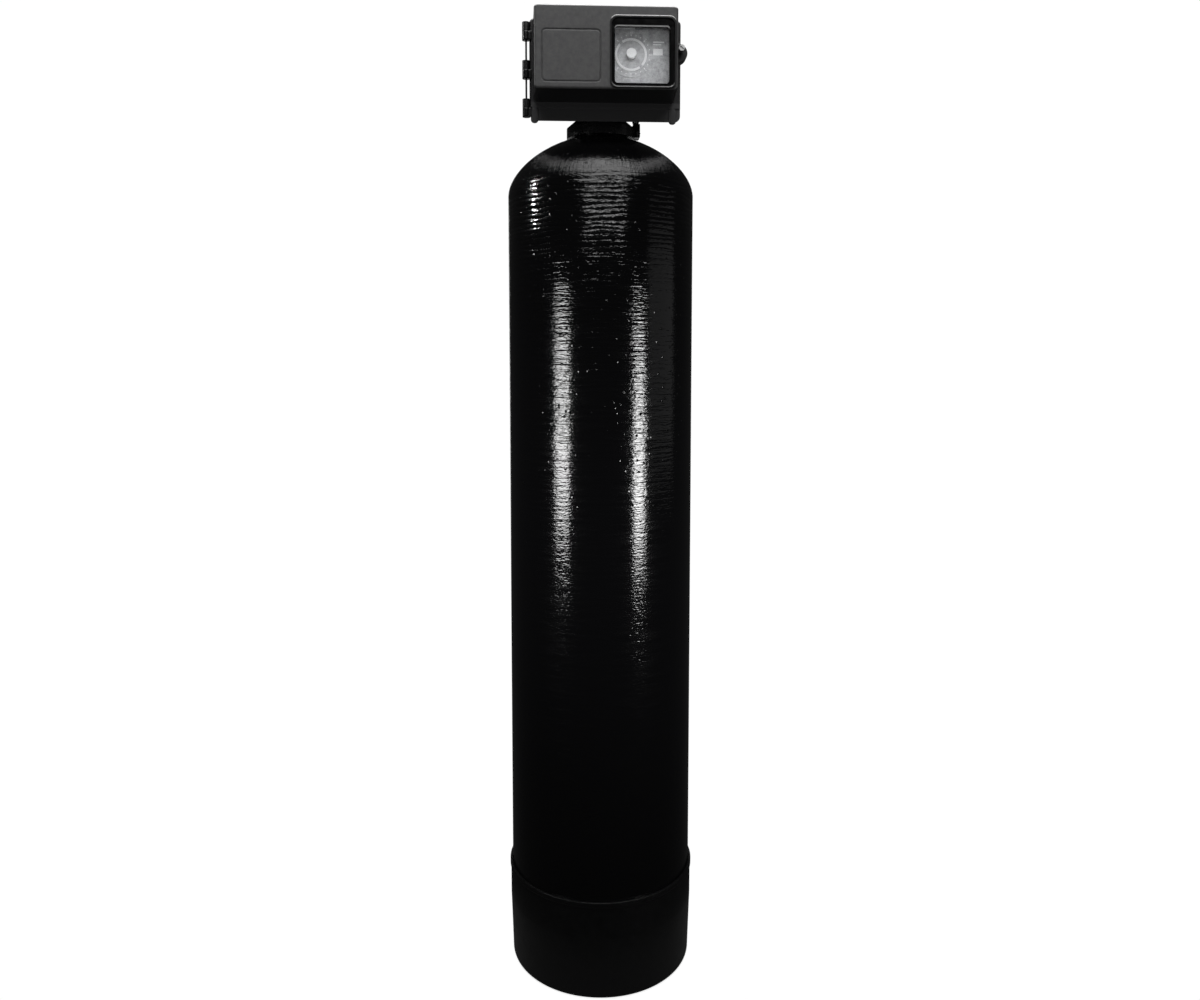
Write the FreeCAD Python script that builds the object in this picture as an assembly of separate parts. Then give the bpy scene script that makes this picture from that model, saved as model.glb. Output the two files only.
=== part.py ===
import FreeCAD, Part
import math
import os

from FreeCAD import Vector

# Backwashing carbon water filter: a wound pressure tank in a moulded boot, with a
# piston control valve on its 2.5 inch neck. The valve's drive and its clockwork timer
# sit in a black housing behind a hinged cover with a window.
# The origin is on the floor, on the tank's axis. X is to the right, Y to the back.

X_AXIS = Vector(1, 0, 0)
Y_AXIS = Vector(0, 1, 0)
Z_AXIS = Vector(0, 0, 1)

# Clearances
seat_gap = 0.3
running_gap = 0.06
gear_gap = 0.35
bolt_gap = 0.3

# Boot
boot_height = 167.0
boot_wall = 2.8
boot_floor = 4.0
boot_foot_radius = 154.5
boot_foot_round = 7.0
boot_lip = 1.4
boot_lip_height = 9.0
boot_floor_hole = 52.0
boot_rib_count = 8
boot_rib_thickness = 3.0
boot_rib_inner = 70.0

# Pressure tank
tank_radius = 155.0
tank_length = 1412.0
dome_rise = 102.0
dome_power = 1.75
shell_wall = 3.2
liner_wall = 3.0
neck_opening = 44.0

# Neck insert and its 2.5 inch thread
neck_thread_radius = 31.5
neck_insert_depth = 42.0
neck_insert_foot = 62.0
neck_insert_foot_height = 9.0

# Filter media and distributor
gravel_top = 135.0
carbon_top = 965.0
riser_radius = 13.35
riser_wall = 2.9
basket_radius = 30.0
basket_height = 62.0
basket_wall = 3.0
basket_floor_gap = 14.0
basket_slot_width = 2.6
basket_slot_land = 2.6
basket_slot_count = 12
basket_tier_count = 3
top_basket_radius = 27.0
top_basket_height = 46.0
top_basket_wall = 2.4

# Tank adapter, clamp and rubber rings
adapter_pedestal = 3.0
adapter_flange_radius = 52.0
adapter_flange = 4.5
adapter_thread_length = 30.0
adapter_bore = 26.0
adapter_hub_wall = 4.0
adapter_spoke = 5.0
adapter_spoke_count = 4
clamp_wall = 4.2
clamp_lip = 2.2
clamp_straight = 17.0
clamp_shoulder = 10.0
clamp_split = 7.0
clamp_lug_reach = 9.0
clamp_lug_depth = 8.0
clamp_lug_round = 2.0
clamp_bolt_radius = 2.0
foot_flange = 6.5
ring_section = 1.75
neck_ring_radius = 38.0

# Valve body
piston_axis_rise = 87.8
valve_neck_radius = 42.0
valve_front = -12.0
valve_back = 86.0
barrel_radius = 36.0
barrel_bore = 24.0
barrel_end_wall = 8.0
valve_flange_width = 96.0
valve_flange_height = 84.0
valve_flange_thickness = 9.0
valve_flange_round = 8.0
riser_socket_depth = 20.0
port_offset = 46.0
port_drop = 9.0
port_boss_radius = 23.0
port_collar = 1.5
port_branch_radius = 19.0
port_back = 120.0
port_start = 16.0
port_thread_radius = 15.2
port_thread_length = 24.0
port_rib = 6.0
port_duct_radius = 8.0
tank_duct_offset = 30.0
tank_duct_radius = 5.5
drain_rise = 19.0
drain_boss_radius = 15.0
drain_boss_reach = 67.0
drain_thread_radius = 9.2
drain_thread_length = 16.0

# Piston, seals and spacers
piston_radius = 12.8
piston_length = 48.0
piston_back_gap = 2.0
piston_waist_radius = 9.5
piston_waist_length = 14.0
piston_stroke = 26.0
rod_radius = 3.2
seal_count = 5
seal_thickness = 4.5
spacer_wall = 3.0
spacer_window_count = 6
end_plug_length = 12.0
end_plug_flange_radius = 29.0

# Drain flow control
drain_hex_width = 30.0
drain_hex_length = 9.0
drain_body_radius = 12.0
drain_body_length = 15.0
drain_barb_radius = 8.0
drain_barb_length = 30.0
drain_barb_count = 4
drain_barb_step = 1.4
drain_bore_radius = 5.0
flow_button_radius = 8.0
flow_button_thickness = 5.0
flow_button_hole = 2.2

# Housing behind the cover
housing_left = -117.0
housing_right = 124.0
housing_drop = 61.0
housing_rise = 78.0
housing_front = -72.0
housing_wall = 2.8
housing_corner = 9.0
housing_rib = 6.0
housing_rib_x = 66.0
screw_radius = 2.1
screw_head_radius = 4.0
screw_head = 3.0
valve_screw_x = 40.0
valve_screw_z = 34.0

# Hinged cover
cover_left = -108.6
cover_right = 112.0
cover_front = -140.0
cover_foot = 13.5
cover_wall = 2.6
cover_corner = 6.0
cover_edge_round = 3.4
cover_draft = 1.6
cover_foot_draft = 4.6
flange_left = -115.0
flange_drop = 20.2
flange_step = 1.2
flange_thickness = 3.0
flange_corner = 9.0
flange_foot_width = 12.0
flange_foot_drop = 3.8
flange_foot_inset = 6.5
flange_foot_round = 5.4
label_left = -97.5
label_margin = 10.0
label_width = 91.0
label_height = 78.5
label_corner = 7.0
label_groove = 1.6
label_groove_depth = 0.8
window_left = 14.0
window_margin = 8.0
window_width = 84.5
window_height = 84.0
window_corner = 5.0
bezel_side = 6.2
bezel_above = 17.5
bezel_below = 6.6
bezel_right = 10.4
bezel_proud = 3.0
bezel_corner = 10.0
bezel_step = 4.2
bezel_step_above = 13.4
bezel_step_right = 8.0
pane_thickness = 2.5
pane_lap = 4.0

# Hinge and captive cover screw
hinge_x = -122.0
knuckle_radius = 6.2
knuckle_block = 28.0
knuckle_low = 5.5
knuckle_inset = 6.8
knuckle_block_count = 3
knuckle_gap = 0.4
knuckle_room = 0.6
hinge_leaf = 3.0
hinge_pin_radius = 1.5
hinge_pin_head = 2.6
hinge_pin_head_height = 1.2
ear_radius = 15.0
ear_x = 120.0
ear_rise = 26.0
ear_screw_x = 124.0
ear_screw_rise = 4.0
ear_thickness = 4.0
ear_boss_depth = 12.0
cover_screw_radius = 2.5
cover_screw_head_radius = 5.0
cover_screw_head = 10.0
cover_screw_travel = 7.0
cover_screw_flutes = 16
cover_screw_flute_radius = 0.5
cover_screw_slot_width = 1.4
cover_screw_slot_depth = 1.6
cover_screw_slot_angle = 35.0

# Drive bracket, motor and drive gear
bracket_sheet = 2.0
bracket_side_x = -22.0
bracket_flange = 34.0
bracket_front_flange = 18.0
bracket_drop = 39.0
bracket_rise = 67.0
gear_module = 1.0
tooth_root_depth = 1.15
tooth_tip_height = 0.9
tooth_root_share = 0.30
tooth_tip_share = 0.12
gear_thickness = 6.0
drive_gear_teeth = 60
drive_pinion_teeth = 14
drive_gear_y = -50.0
drive_gear_x = -13.0
drive_gear_web = 2.5
drive_gear_rim = 4.0
drive_gear_hub_radius = 7.2
drive_gear_hole_radius = 4.8
drive_gear_hole_ring = 18.6
drive_gear_hole_count = 5
crank_pin_radius = 2.4
crank_pin_end = 1.5
yoke_thickness = 5.0
yoke_rim = 4.0
yoke_slack = 2.9
cam_radius = 17.0
cam_thickness = 3.6
cam_notch_width = 7.0
cam_notch_depth = 2.4
cam_notch_angle = 40.0
pinion_angle = 110.0
gearbox_radius = 27.0
gearbox_length = 14.0
gearbox_round = 2.0
motor_radius = 21.0
motor_length = 30.0
motor_round = 2.5
shaft_radius = 3.0
shaft_end = 3.0
shaft_collar = 1.5

# Limit switches
switch_length = 20.0
switch_height = 10.0
switch_thickness = 6.0
switch_lever_length = 17.0
switch_lever_width = 4.0
switch_lever_sheet = 0.8
switch_roller_radius = 2.0
switch_lever_gap = 1.2
switch_button = 0.4
switch_pivot_radius = 1.0

# Timer
timer_plate_sheet = 1.6
timer_plate_left = -64.0
timer_plate_right = 98.0
timer_plate_drop = 41.0
timer_plate_rise = 69.0
timer_plate_front = -97.0
dial_x = 42.0
dial_rise = 13.0
day_gear_teeth = 68
day_gear_thickness = 3.0
day_dial_radius = 35.0
day_dial_thickness = 1.5
day_hub_radius = 6.5
day_gear_hole_radius = 5.5
day_gear_hole_ring = 20.0
day_gear_hole_count = 6
dial_ring_radius = 25.0
dial_ring_width = 3.6
dial_ring_height = 0.7
dial_ring_gap = 5.0
dial_ring_gap_angle = 48.0
dial_panel_sheet = 1.5
dial_panel_round = 3.0
dial_panel_front = -108.0
dial_panel_left = 3.0
dial_panel_right = 105.5
dial_panel_drop = 39.0
dial_panel_rise = 61.0
timer_pinion_teeth = 16
timer_pinion_angle = -38.0
timer_motor_radius = 24.0
timer_motor_length = 20.0
timer_motor_round = 2.0
knob_radius = 8.0
knob_length = 8.0
knob_round = 1.2
spindle_radius = 3.0
cycle_cam_radius = 15.0
cycle_cam_thickness = 4.0
cycle_cam_notch_radius = 2.2
cycle_cam_notch_count = 3
skipper_x = -19.0
skipper_radius = 21.0
skipper_thickness = 3.0
skipper_hub_height = 3.0
skip_tab_count = 12
skip_tab_width = 4.0
skip_tab_length = 8.0
skip_tab_out = 2.5
skip_tab_rise = 0.8
post_radius = 4.0
post_side_margin = 7.0
post_top_margin = 12.0
post_shift = 14.0
post_foot_margin = 6.0
stud_end = 1.5
stud_head = 1.2

# Cord gland
gland_x = 56.0
gland_y = -34.0
gland_radius = 6.0
gland_nut_width = 17.0
gland_nut_height = 6.0
gland_stem_end = 1.0
gland_bore = 3.6
gland_head = 5.0
gland_cone = 9.0

# Sizes that follow from the ones above
tank_bottom = boot_floor + seat_gap
low_shoulder = tank_bottom + dome_rise
high_shoulder = tank_bottom + tank_length - dome_rise
neck_share = (1 - (neck_opening / tank_radius) ** dome_power) ** (1 / dome_power)
neck_top = high_shoulder + dome_rise * neck_share
adapter_top = neck_top + adapter_pedestal + adapter_flange
clamp_bottom = neck_top + adapter_pedestal - clamp_lip - seat_gap
clamp_radius = adapter_flange_radius + seat_gap + clamp_wall
piston_axis_height = adapter_top + piston_axis_rise
port_height = piston_axis_height - port_drop
drain_axis_height = piston_axis_height + drain_rise
housing_bottom = piston_axis_height - housing_drop
housing_top = piston_axis_height + housing_rise
cover_bottom = housing_bottom + cover_foot
flange_bottom = housing_bottom - flange_drop
label_bottom = cover_bottom + label_margin
window_bottom = cover_bottom + window_margin
ear_height = piston_axis_height + ear_rise
ear_screw_height = ear_height + ear_screw_rise
bracket_bottom = piston_axis_height - bracket_drop
bracket_top = piston_axis_height + bracket_rise
timer_plate_bottom = piston_axis_height - timer_plate_drop
timer_plate_top = piston_axis_height + timer_plate_rise
dial_z = piston_axis_height + dial_rise
dial_panel_bottom = piston_axis_height - dial_panel_drop
dial_panel_top = piston_axis_height + dial_panel_rise
liner_inset = shell_wall + seat_gap
media_inset = liner_inset + liner_wall + seat_gap
distributor_foot = tank_bottom + media_inset + basket_floor_gap
crank_throw = piston_stroke / 2
cover_back = housing_front - seat_gap
flange_front = cover_back - flange_thickness
housing_inner_back = valve_front - housing_wall
timer_plate_back = timer_plate_front + timer_plate_sheet
day_gear_back = timer_plate_front - seat_gap * 2
day_gear_front = day_gear_back - day_gear_thickness
gear_pitch_radius = gear_module * drive_gear_teeth / 2
pinion_distance = gear_module * (drive_gear_teeth + drive_pinion_teeth) / 2 + gear_gap
timer_distance = gear_module * (day_gear_teeth + timer_pinion_teeth) / 2 + gear_gap
barrel_end = valve_back - barrel_end_wall
end_plug_back = valve_front + end_plug_length
seal_room = barrel_end - end_plug_back
spacer_length = (seal_room - seal_count * seal_thickness) / (seal_count - 1)
piston_back = barrel_end - piston_back_gap
stations = [end_plug_back + seal_thickness + spacer_length / 2
            + index * (seal_thickness + spacer_length) for index in range(seal_count - 1)]
drain_axis_back = stations[-1]
port_stations = {-1: stations[0], 1: stations[2]}
rod_front = drive_gear_y + crank_throw


def cylinder(radius, length, start, direction=Z_AXIS):
    return Part.makeCylinder(radius, length, start, direction)


def tube(outer, inner, length, start, direction=Z_AXIS):
    return cylinder(outer, length, start, direction).cut(cylinder(inner, length, start, direction))


def block(x0, x1, y0, y1, z0, z1):
    return Part.makeBox(x1 - x0, y1 - y0, z1 - z0, Vector(x0, y0, z0))


def joined(shapes):
    return shapes[0].multiFuse(shapes[1:]).removeSplitter()


def turned(points, centre=Vector(0, 0, 0)):
    """Solid turned about an upright axis, from straight stretches between radius, height points."""
    corners = [centre + Vector(radius, 0, height) for radius, height in points]
    outline = Part.makePolygon(corners + [corners[0]])
    return Part.Face(outline).revolve(centre, Z_AXIS, 360)


def round_block(x0, x1, y0, y1, z0, z1, corner):
    """Block with its four edges along Y rounded."""
    body = block(x0, x1, y0, y1, z0, z1)
    edges = [edge for edge in body.Edges if abs(edge.tangentAt(edge.FirstParameter).y) > 0.99]
    return body.makeFillet(corner, edges)


def drafted_block(x0, x1, y0, y1, z0, z1, corner, draft, foot_draft):
    """Block with rounded corners whose walls lean outwards to the back, the lowest the most."""
    faces = []
    for y in (y0, y1):
        grow = (y - y0) * math.tan(math.radians(draft))
        drop = (y - y0) * math.tan(math.radians(foot_draft))
        plate = round_block(x0 - grow, x1 + grow, y, y + 1, z0 - drop, z1 + grow, corner)
        front = min(plate.Faces, key=lambda face: face.CenterOfMass.y)
        faces.append(front.OuterWire)
    return Part.makeLoft(faces, True, True)


def hexagon(width, length, start, direction):
    """Six-sided bar, width across its flats."""
    corner = width / math.sqrt(3)
    points = []
    for side in range(7):
        angle = math.radians(60 * side)
        points.append(Vector(corner * math.cos(angle), corner * math.sin(angle), 0))
    bar = Part.Face(Part.makePolygon(points)).extrude(Vector(0, 0, length))
    bar.Placement = FreeCAD.Placement(start, FreeCAD.Rotation(Z_AXIS, direction))
    return bar


def around(shape, count, centre, axis, first=0.0):
    """Copies of a shape spaced evenly about an axis."""
    copies = []
    for index in range(count):
        copy = shape.copy()
        copy.rotate(centre, axis, first + index * 360.0 / count)
        copies.append(copy)
    return copies


def gear_disc(teeth, thickness, centre, facing, start_angle=0.0):
    """Spur gear with straight-sided teeth. It is drawn seen from the side that it faces,
    with its angles counted from the direction across towards up."""
    pitch_radius = gear_module * teeth / 2
    root = pitch_radius - tooth_root_depth * gear_module
    tip = pitch_radius + tooth_tip_height * gear_module
    step = 2 * math.pi / teeth
    points = []
    for tooth in range(teeth):
        middle = math.radians(start_angle) + tooth * step
        for radius, share in ((root, -tooth_root_share), (tip, -tooth_tip_share),
                              (tip, tooth_tip_share), (root, tooth_root_share)):
            angle = middle + share * step
            points.append(Vector(radius * math.cos(angle), radius * math.sin(angle), 0))
    blank = Part.Face(Part.makePolygon(points + [points[0]])).extrude(Vector(0, 0, thickness))
    across = Y_AXIS if facing == X_AXIS else X_AXIS
    turn = FreeCAD.Rotation(across, Z_AXIS, facing, "ZXY")
    blank.Placement = FreeCAD.Placement(centre, turn)
    return blank


def save(name, shape):
    shape.exportStep("parts/" + name + ".step")


def dome_curve(radius, rise, shoulder, end_radius, upward):
    """Tank end from its shoulder in to end_radius, as one smooth curve."""
    points = []
    last = math.acos((end_radius / radius) ** (dome_power / 2))
    for index in range(8):
        angle = last * index / 7
        across = radius * math.cos(angle) ** (2 / dome_power)
        along = rise * math.sin(angle) ** (2 / dome_power)
        points.append(Vector(across, 0, shoulder + upward * along))
    curve = Part.BSplineCurve()
    curve.interpolate(points)
    return curve.toShape(), points[-1]


def vessel(inset, opening):
    """Solid form of the tank, set in from its outside, its top cut flat at the opening."""
    radius = tank_radius - inset
    rise = dome_rise - inset
    low_edge, low_point = dome_curve(radius, rise, low_shoulder, 1.0, -1)
    high_edge, high_point = dome_curve(radius, rise, high_shoulder, opening, 1)
    centre_low = Vector(0, 0, low_point.z)
    centre_high = Vector(0, 0, high_point.z)
    edges = [
        Part.makeLine(centre_low, low_point),
        low_edge,
        Part.makeLine(Vector(radius, 0, low_shoulder), Vector(radius, 0, high_shoulder)),
        high_edge,
        Part.makeLine(high_point, centre_high),
        Part.makeLine(centre_high, centre_low),
    ]
    outline = Part.Wire(Part.__sortEdges__(edges))
    return Part.Face(outline).revolve(Vector(0, 0, 0), Z_AXIS, 360)


def base_boot():
    """Tapered boot with a rolled lip and ribs that cradle the tank's round end."""
    rim_inner = tank_radius + seat_gap
    rim_outer = rim_inner + boot_wall
    shell = turned([
        (0, 0),
        (boot_foot_radius, 0),
        (rim_outer, low_shoulder),
        (rim_outer, boot_height - boot_lip_height),
        (rim_outer + boot_lip, boot_height - boot_lip_height + boot_lip),
        (rim_outer + boot_lip, boot_height),
        (0, boot_height),
    ])
    foot = [edge for edge in shell.Edges if edge.BoundBox.ZMax < 1 and edge.Length > boot_height]
    shell = shell.makeFillet(boot_foot_round, foot)
    hollow = turned([
        (0, boot_floor),
        (boot_foot_radius - 2 * boot_wall, boot_floor),
        (rim_inner, low_shoulder),
        (rim_inner, boot_height),
        (0, boot_height),
    ])
    shell = shell.cut(hollow)
    rib = block(boot_rib_inner, rim_inner, -boot_rib_thickness / 2, boot_rib_thickness / 2,
                boot_floor / 2, low_shoulder)
    ring = tube(boot_rib_inner + boot_rib_thickness, boot_rib_inner, low_shoulder,
                Vector(0, 0, boot_floor / 2))
    cradle = joined(around(rib, boot_rib_count, Vector(0, 0, 0), Z_AXIS) + [ring])
    cradle = cradle.common(turned([
        (0, boot_floor / 2),
        (boot_foot_radius - boot_wall, boot_floor / 2),
        (rim_inner + boot_wall / 2, low_shoulder),
        (0, low_shoulder),
    ]))
    cradle = cradle.cut(vessel(-seat_gap, neck_opening))
    shell = shell.fuse(cradle).removeSplitter()
    return shell.cut(cylinder(boot_floor_hole, boot_floor, Vector(0, 0, 0)))


def tank_shell():
    bore = cylinder(neck_opening, tank_length, Vector(0, 0, high_shoulder))
    return vessel(0.0, neck_opening).cut(vessel(shell_wall, neck_opening)).cut(bore)


def tank_liner():
    hole = cylinder(neck_insert_foot + seat_gap, tank_length, Vector(0, 0, high_shoulder))
    liner = vessel(liner_inset, neck_insert_foot).cut(vessel(liner_inset + liner_wall, neck_insert_foot))
    return liner.cut(hole)


def neck_insert():
    """Threaded ring moulded into the tank's top, with a foot under the wound shell."""
    foot = neck_top - neck_insert_depth
    stem = neck_opening - seat_gap
    body = turned([
        (neck_thread_radius, foot),
        (neck_insert_foot, foot),
        (neck_insert_foot, foot + neck_insert_depth),
        (neck_thread_radius, foot + neck_insert_depth),
    ])
    room = vessel(liner_inset, 1.0).fuse(cylinder(stem, tank_length, Vector(0, 0, high_shoulder)))
    web = turned([
        (0, foot),
        (neck_insert_foot, foot),
        (neck_insert_foot, foot + neck_insert_foot_height * 2),
        (stem, foot + neck_insert_foot_height * 3),
        (stem, neck_top),
        (0, neck_top),
    ])
    return body.common(room).common(web).removeSplitter()


def bottom_basket():
    """Slotted distributor that lets water through and holds the gravel back."""
    foot = distributor_foot
    middle = foot + basket_height / 2
    body = tube(basket_radius, basket_radius - basket_wall, basket_height, Vector(0, 0, foot))
    floor = cylinder(basket_radius, basket_wall, Vector(0, 0, foot))
    lid = cylinder(basket_radius, basket_wall, Vector(0, 0, foot + basket_height - basket_wall))
    sleeve = cylinder(riser_radius + basket_wall, basket_height / 2, Vector(0, 0, middle))
    body = joined([body, floor, lid, sleeve])
    body = body.cut(cylinder(riser_radius + running_gap, basket_height, Vector(0, 0, middle)))
    pitch = (basket_height - 2 * basket_wall) / basket_tier_count
    slots = []
    for tier in range(basket_tier_count):
        level = foot + basket_wall + tier * pitch
        slot = block(basket_radius - 1.5 * basket_wall, basket_radius + basket_wall,
                     -basket_slot_width / 2, basket_slot_width / 2,
                     level + basket_slot_land, level + pitch - basket_slot_land)
        slots += around(slot, basket_slot_count, Vector(0, 0, 0), Z_AXIS)
    return body.cut(slots)


def riser_tube():
    start = distributor_foot + basket_height / 2 + seat_gap
    top = adapter_top + riser_socket_depth
    return tube(riser_radius, riser_radius - riser_wall, top - start, Vector(0, 0, start))


def gravel_bed():
    """Support gravel that fills the tank's round end, round the distributor."""
    slab = cylinder(tank_radius, gravel_top - tank_bottom, Vector(0, 0, tank_bottom))
    pocket = cylinder(basket_radius + seat_gap, basket_height + 2 * seat_gap,
                      Vector(0, 0, distributor_foot - seat_gap))
    drill = cylinder(riser_radius + seat_gap, tank_length, Vector(0, 0, distributor_foot))
    return vessel(media_inset, neck_opening).common(slab).cut(pocket).cut(drill)


def carbon_bed():
    """Bed of carbon grains, with free space above it for the backwash."""
    start = gravel_top + seat_gap
    return tube(tank_radius - media_inset, riser_radius + seat_gap, carbon_top - start,
                Vector(0, 0, start))


def top_basket():
    """Slotted basket under the valve that keeps the carbon in while it is backwashed."""
    top = neck_top - adapter_thread_length - seat_gap
    foot = top - top_basket_height
    cup = tube(top_basket_radius, riser_radius + running_gap, top_basket_height,
               Vector(0, 0, foot))
    cup = cup.cut(tube(top_basket_radius - top_basket_wall, riser_radius + top_basket_wall,
                       top_basket_height, Vector(0, 0, foot + top_basket_wall)))
    slot = block(top_basket_radius - 2 * top_basket_wall, top_basket_radius + top_basket_wall,
                 -basket_slot_width / 2, basket_slot_width / 2,
                 foot + 2 * top_basket_wall, top - 2 * top_basket_wall)
    return cup.cut(around(slot, basket_slot_count, Vector(0, 0, 0), Z_AXIS))


def tank_adapter():
    """Screws into the tank's neck and carries the valve on a flange."""
    foot = neck_top - adapter_thread_length
    flange_start = neck_top + adapter_pedestal
    body = turned([
        (adapter_bore, foot),
        (neck_thread_radius - running_gap, foot),
        (neck_thread_radius - running_gap, neck_top),
        (neck_opening, neck_top),
        (neck_opening, flange_start),
        (adapter_flange_radius, flange_start),
        (adapter_flange_radius, adapter_top),
        (adapter_bore, adapter_top),
    ])
    hub = cylinder(riser_radius + adapter_hub_wall, adapter_flange + adapter_pedestal,
                   Vector(0, 0, neck_top))
    spokes = block(riser_radius, adapter_bore + adapter_hub_wall, -adapter_spoke / 2,
                   adapter_spoke / 2, neck_top, flange_start)
    body = joined([body, hub] + around(spokes, adapter_spoke_count, Vector(0, 0, 0), Z_AXIS))
    body = body.cut(cylinder(riser_radius + running_gap, tank_length, Vector(0, 0, foot)))
    groove_width = 2 * ring_section + 2 * running_gap
    tank_groove = tube(neck_ring_radius + groove_width / 2, neck_ring_radius - groove_width / 2,
                       groove_width, Vector(0, 0, neck_top))
    foot_groove = tube(neck_ring_radius + groove_width / 2, neck_ring_radius - groove_width / 2,
                       groove_width, Vector(0, 0, adapter_top - groove_width))
    return body.cut(tank_groove).cut(foot_groove)


def rubber_ring(radius, height):
    return Part.makeTorus(radius, ring_section, Vector(0, 0, height), Z_AXIS)


def clamp_ring():
    """Two-lipped band that pulls the valve's foot and the adapter's flange together."""
    outer = clamp_radius
    room = adapter_flange_radius + seat_gap
    low_lip = clamp_bottom + clamp_lip
    foot_top = adapter_top + foot_flange
    shoulder = clamp_bottom + clamp_straight
    top = shoulder + clamp_shoulder
    neck = valve_neck_radius + seat_gap * 2
    band = turned([
        (neck_opening + 2 * seat_gap, clamp_bottom),
        (outer, clamp_bottom),
        (outer, shoulder),
        (neck + clamp_lip, top),
        (neck, top),
        (neck, foot_top + (room - neck)),
        (room, foot_top + seat_gap),
        (room, low_lip),
        (neck_opening + 2 * seat_gap, low_lip),
    ])
    lug_height = clamp_straight + clamp_shoulder - 2 * clamp_lip
    lugs = round_block(outer - clamp_wall, outer + clamp_lug_reach,
                       -clamp_split / 2 - clamp_lug_depth, clamp_split / 2 + clamp_lug_depth,
                       clamp_bottom + clamp_lip, clamp_bottom + clamp_lip + lug_height,
                       clamp_lug_round)
    room_inside = cylinder(outer - clamp_wall / 2, lug_height + clamp_straight,
                           Vector(0, 0, clamp_bottom))
    lugs = lugs.cut(room_inside)
    split = block(0, outer + 2 * clamp_lug_reach, -clamp_split / 2, clamp_split / 2,
                  clamp_bottom, top)
    bolt_hole = cylinder(clamp_bolt_radius + bolt_gap, 4 * clamp_lug_depth,
                         clamp_bolt_start(-2 * clamp_lug_depth), Y_AXIS)
    return band.fuse(lugs).removeSplitter().cut(split).cut(bolt_hole)


def clamp_bolt_start(y):
    bolt_x = clamp_radius + clamp_lug_reach - 1.6 * clamp_bolt_radius
    return Vector(bolt_x, y, clamp_bottom + clamp_straight / 2)


def clamp_bolt():
    """Screw with a hexagon head, and its nut."""
    reach = clamp_split / 2 + clamp_lug_depth
    head = hexagon(3.2 * clamp_bolt_radius, 1.4 * clamp_bolt_radius,
                   clamp_bolt_start(-reach - 1.4 * clamp_bolt_radius), Y_AXIS)
    shank = cylinder(clamp_bolt_radius, 2 * reach + 2.4 * clamp_bolt_radius,
                     clamp_bolt_start(-reach), Y_AXIS)
    nut = hexagon(3.2 * clamp_bolt_radius, 1.6 * clamp_bolt_radius, clamp_bolt_start(reach), Y_AXIS)
    return joined([head, shank]), nut.cut(cylinder(clamp_bolt_radius, 4 * clamp_bolt_radius,
                                                   clamp_bolt_start(reach), Y_AXIS))


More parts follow.
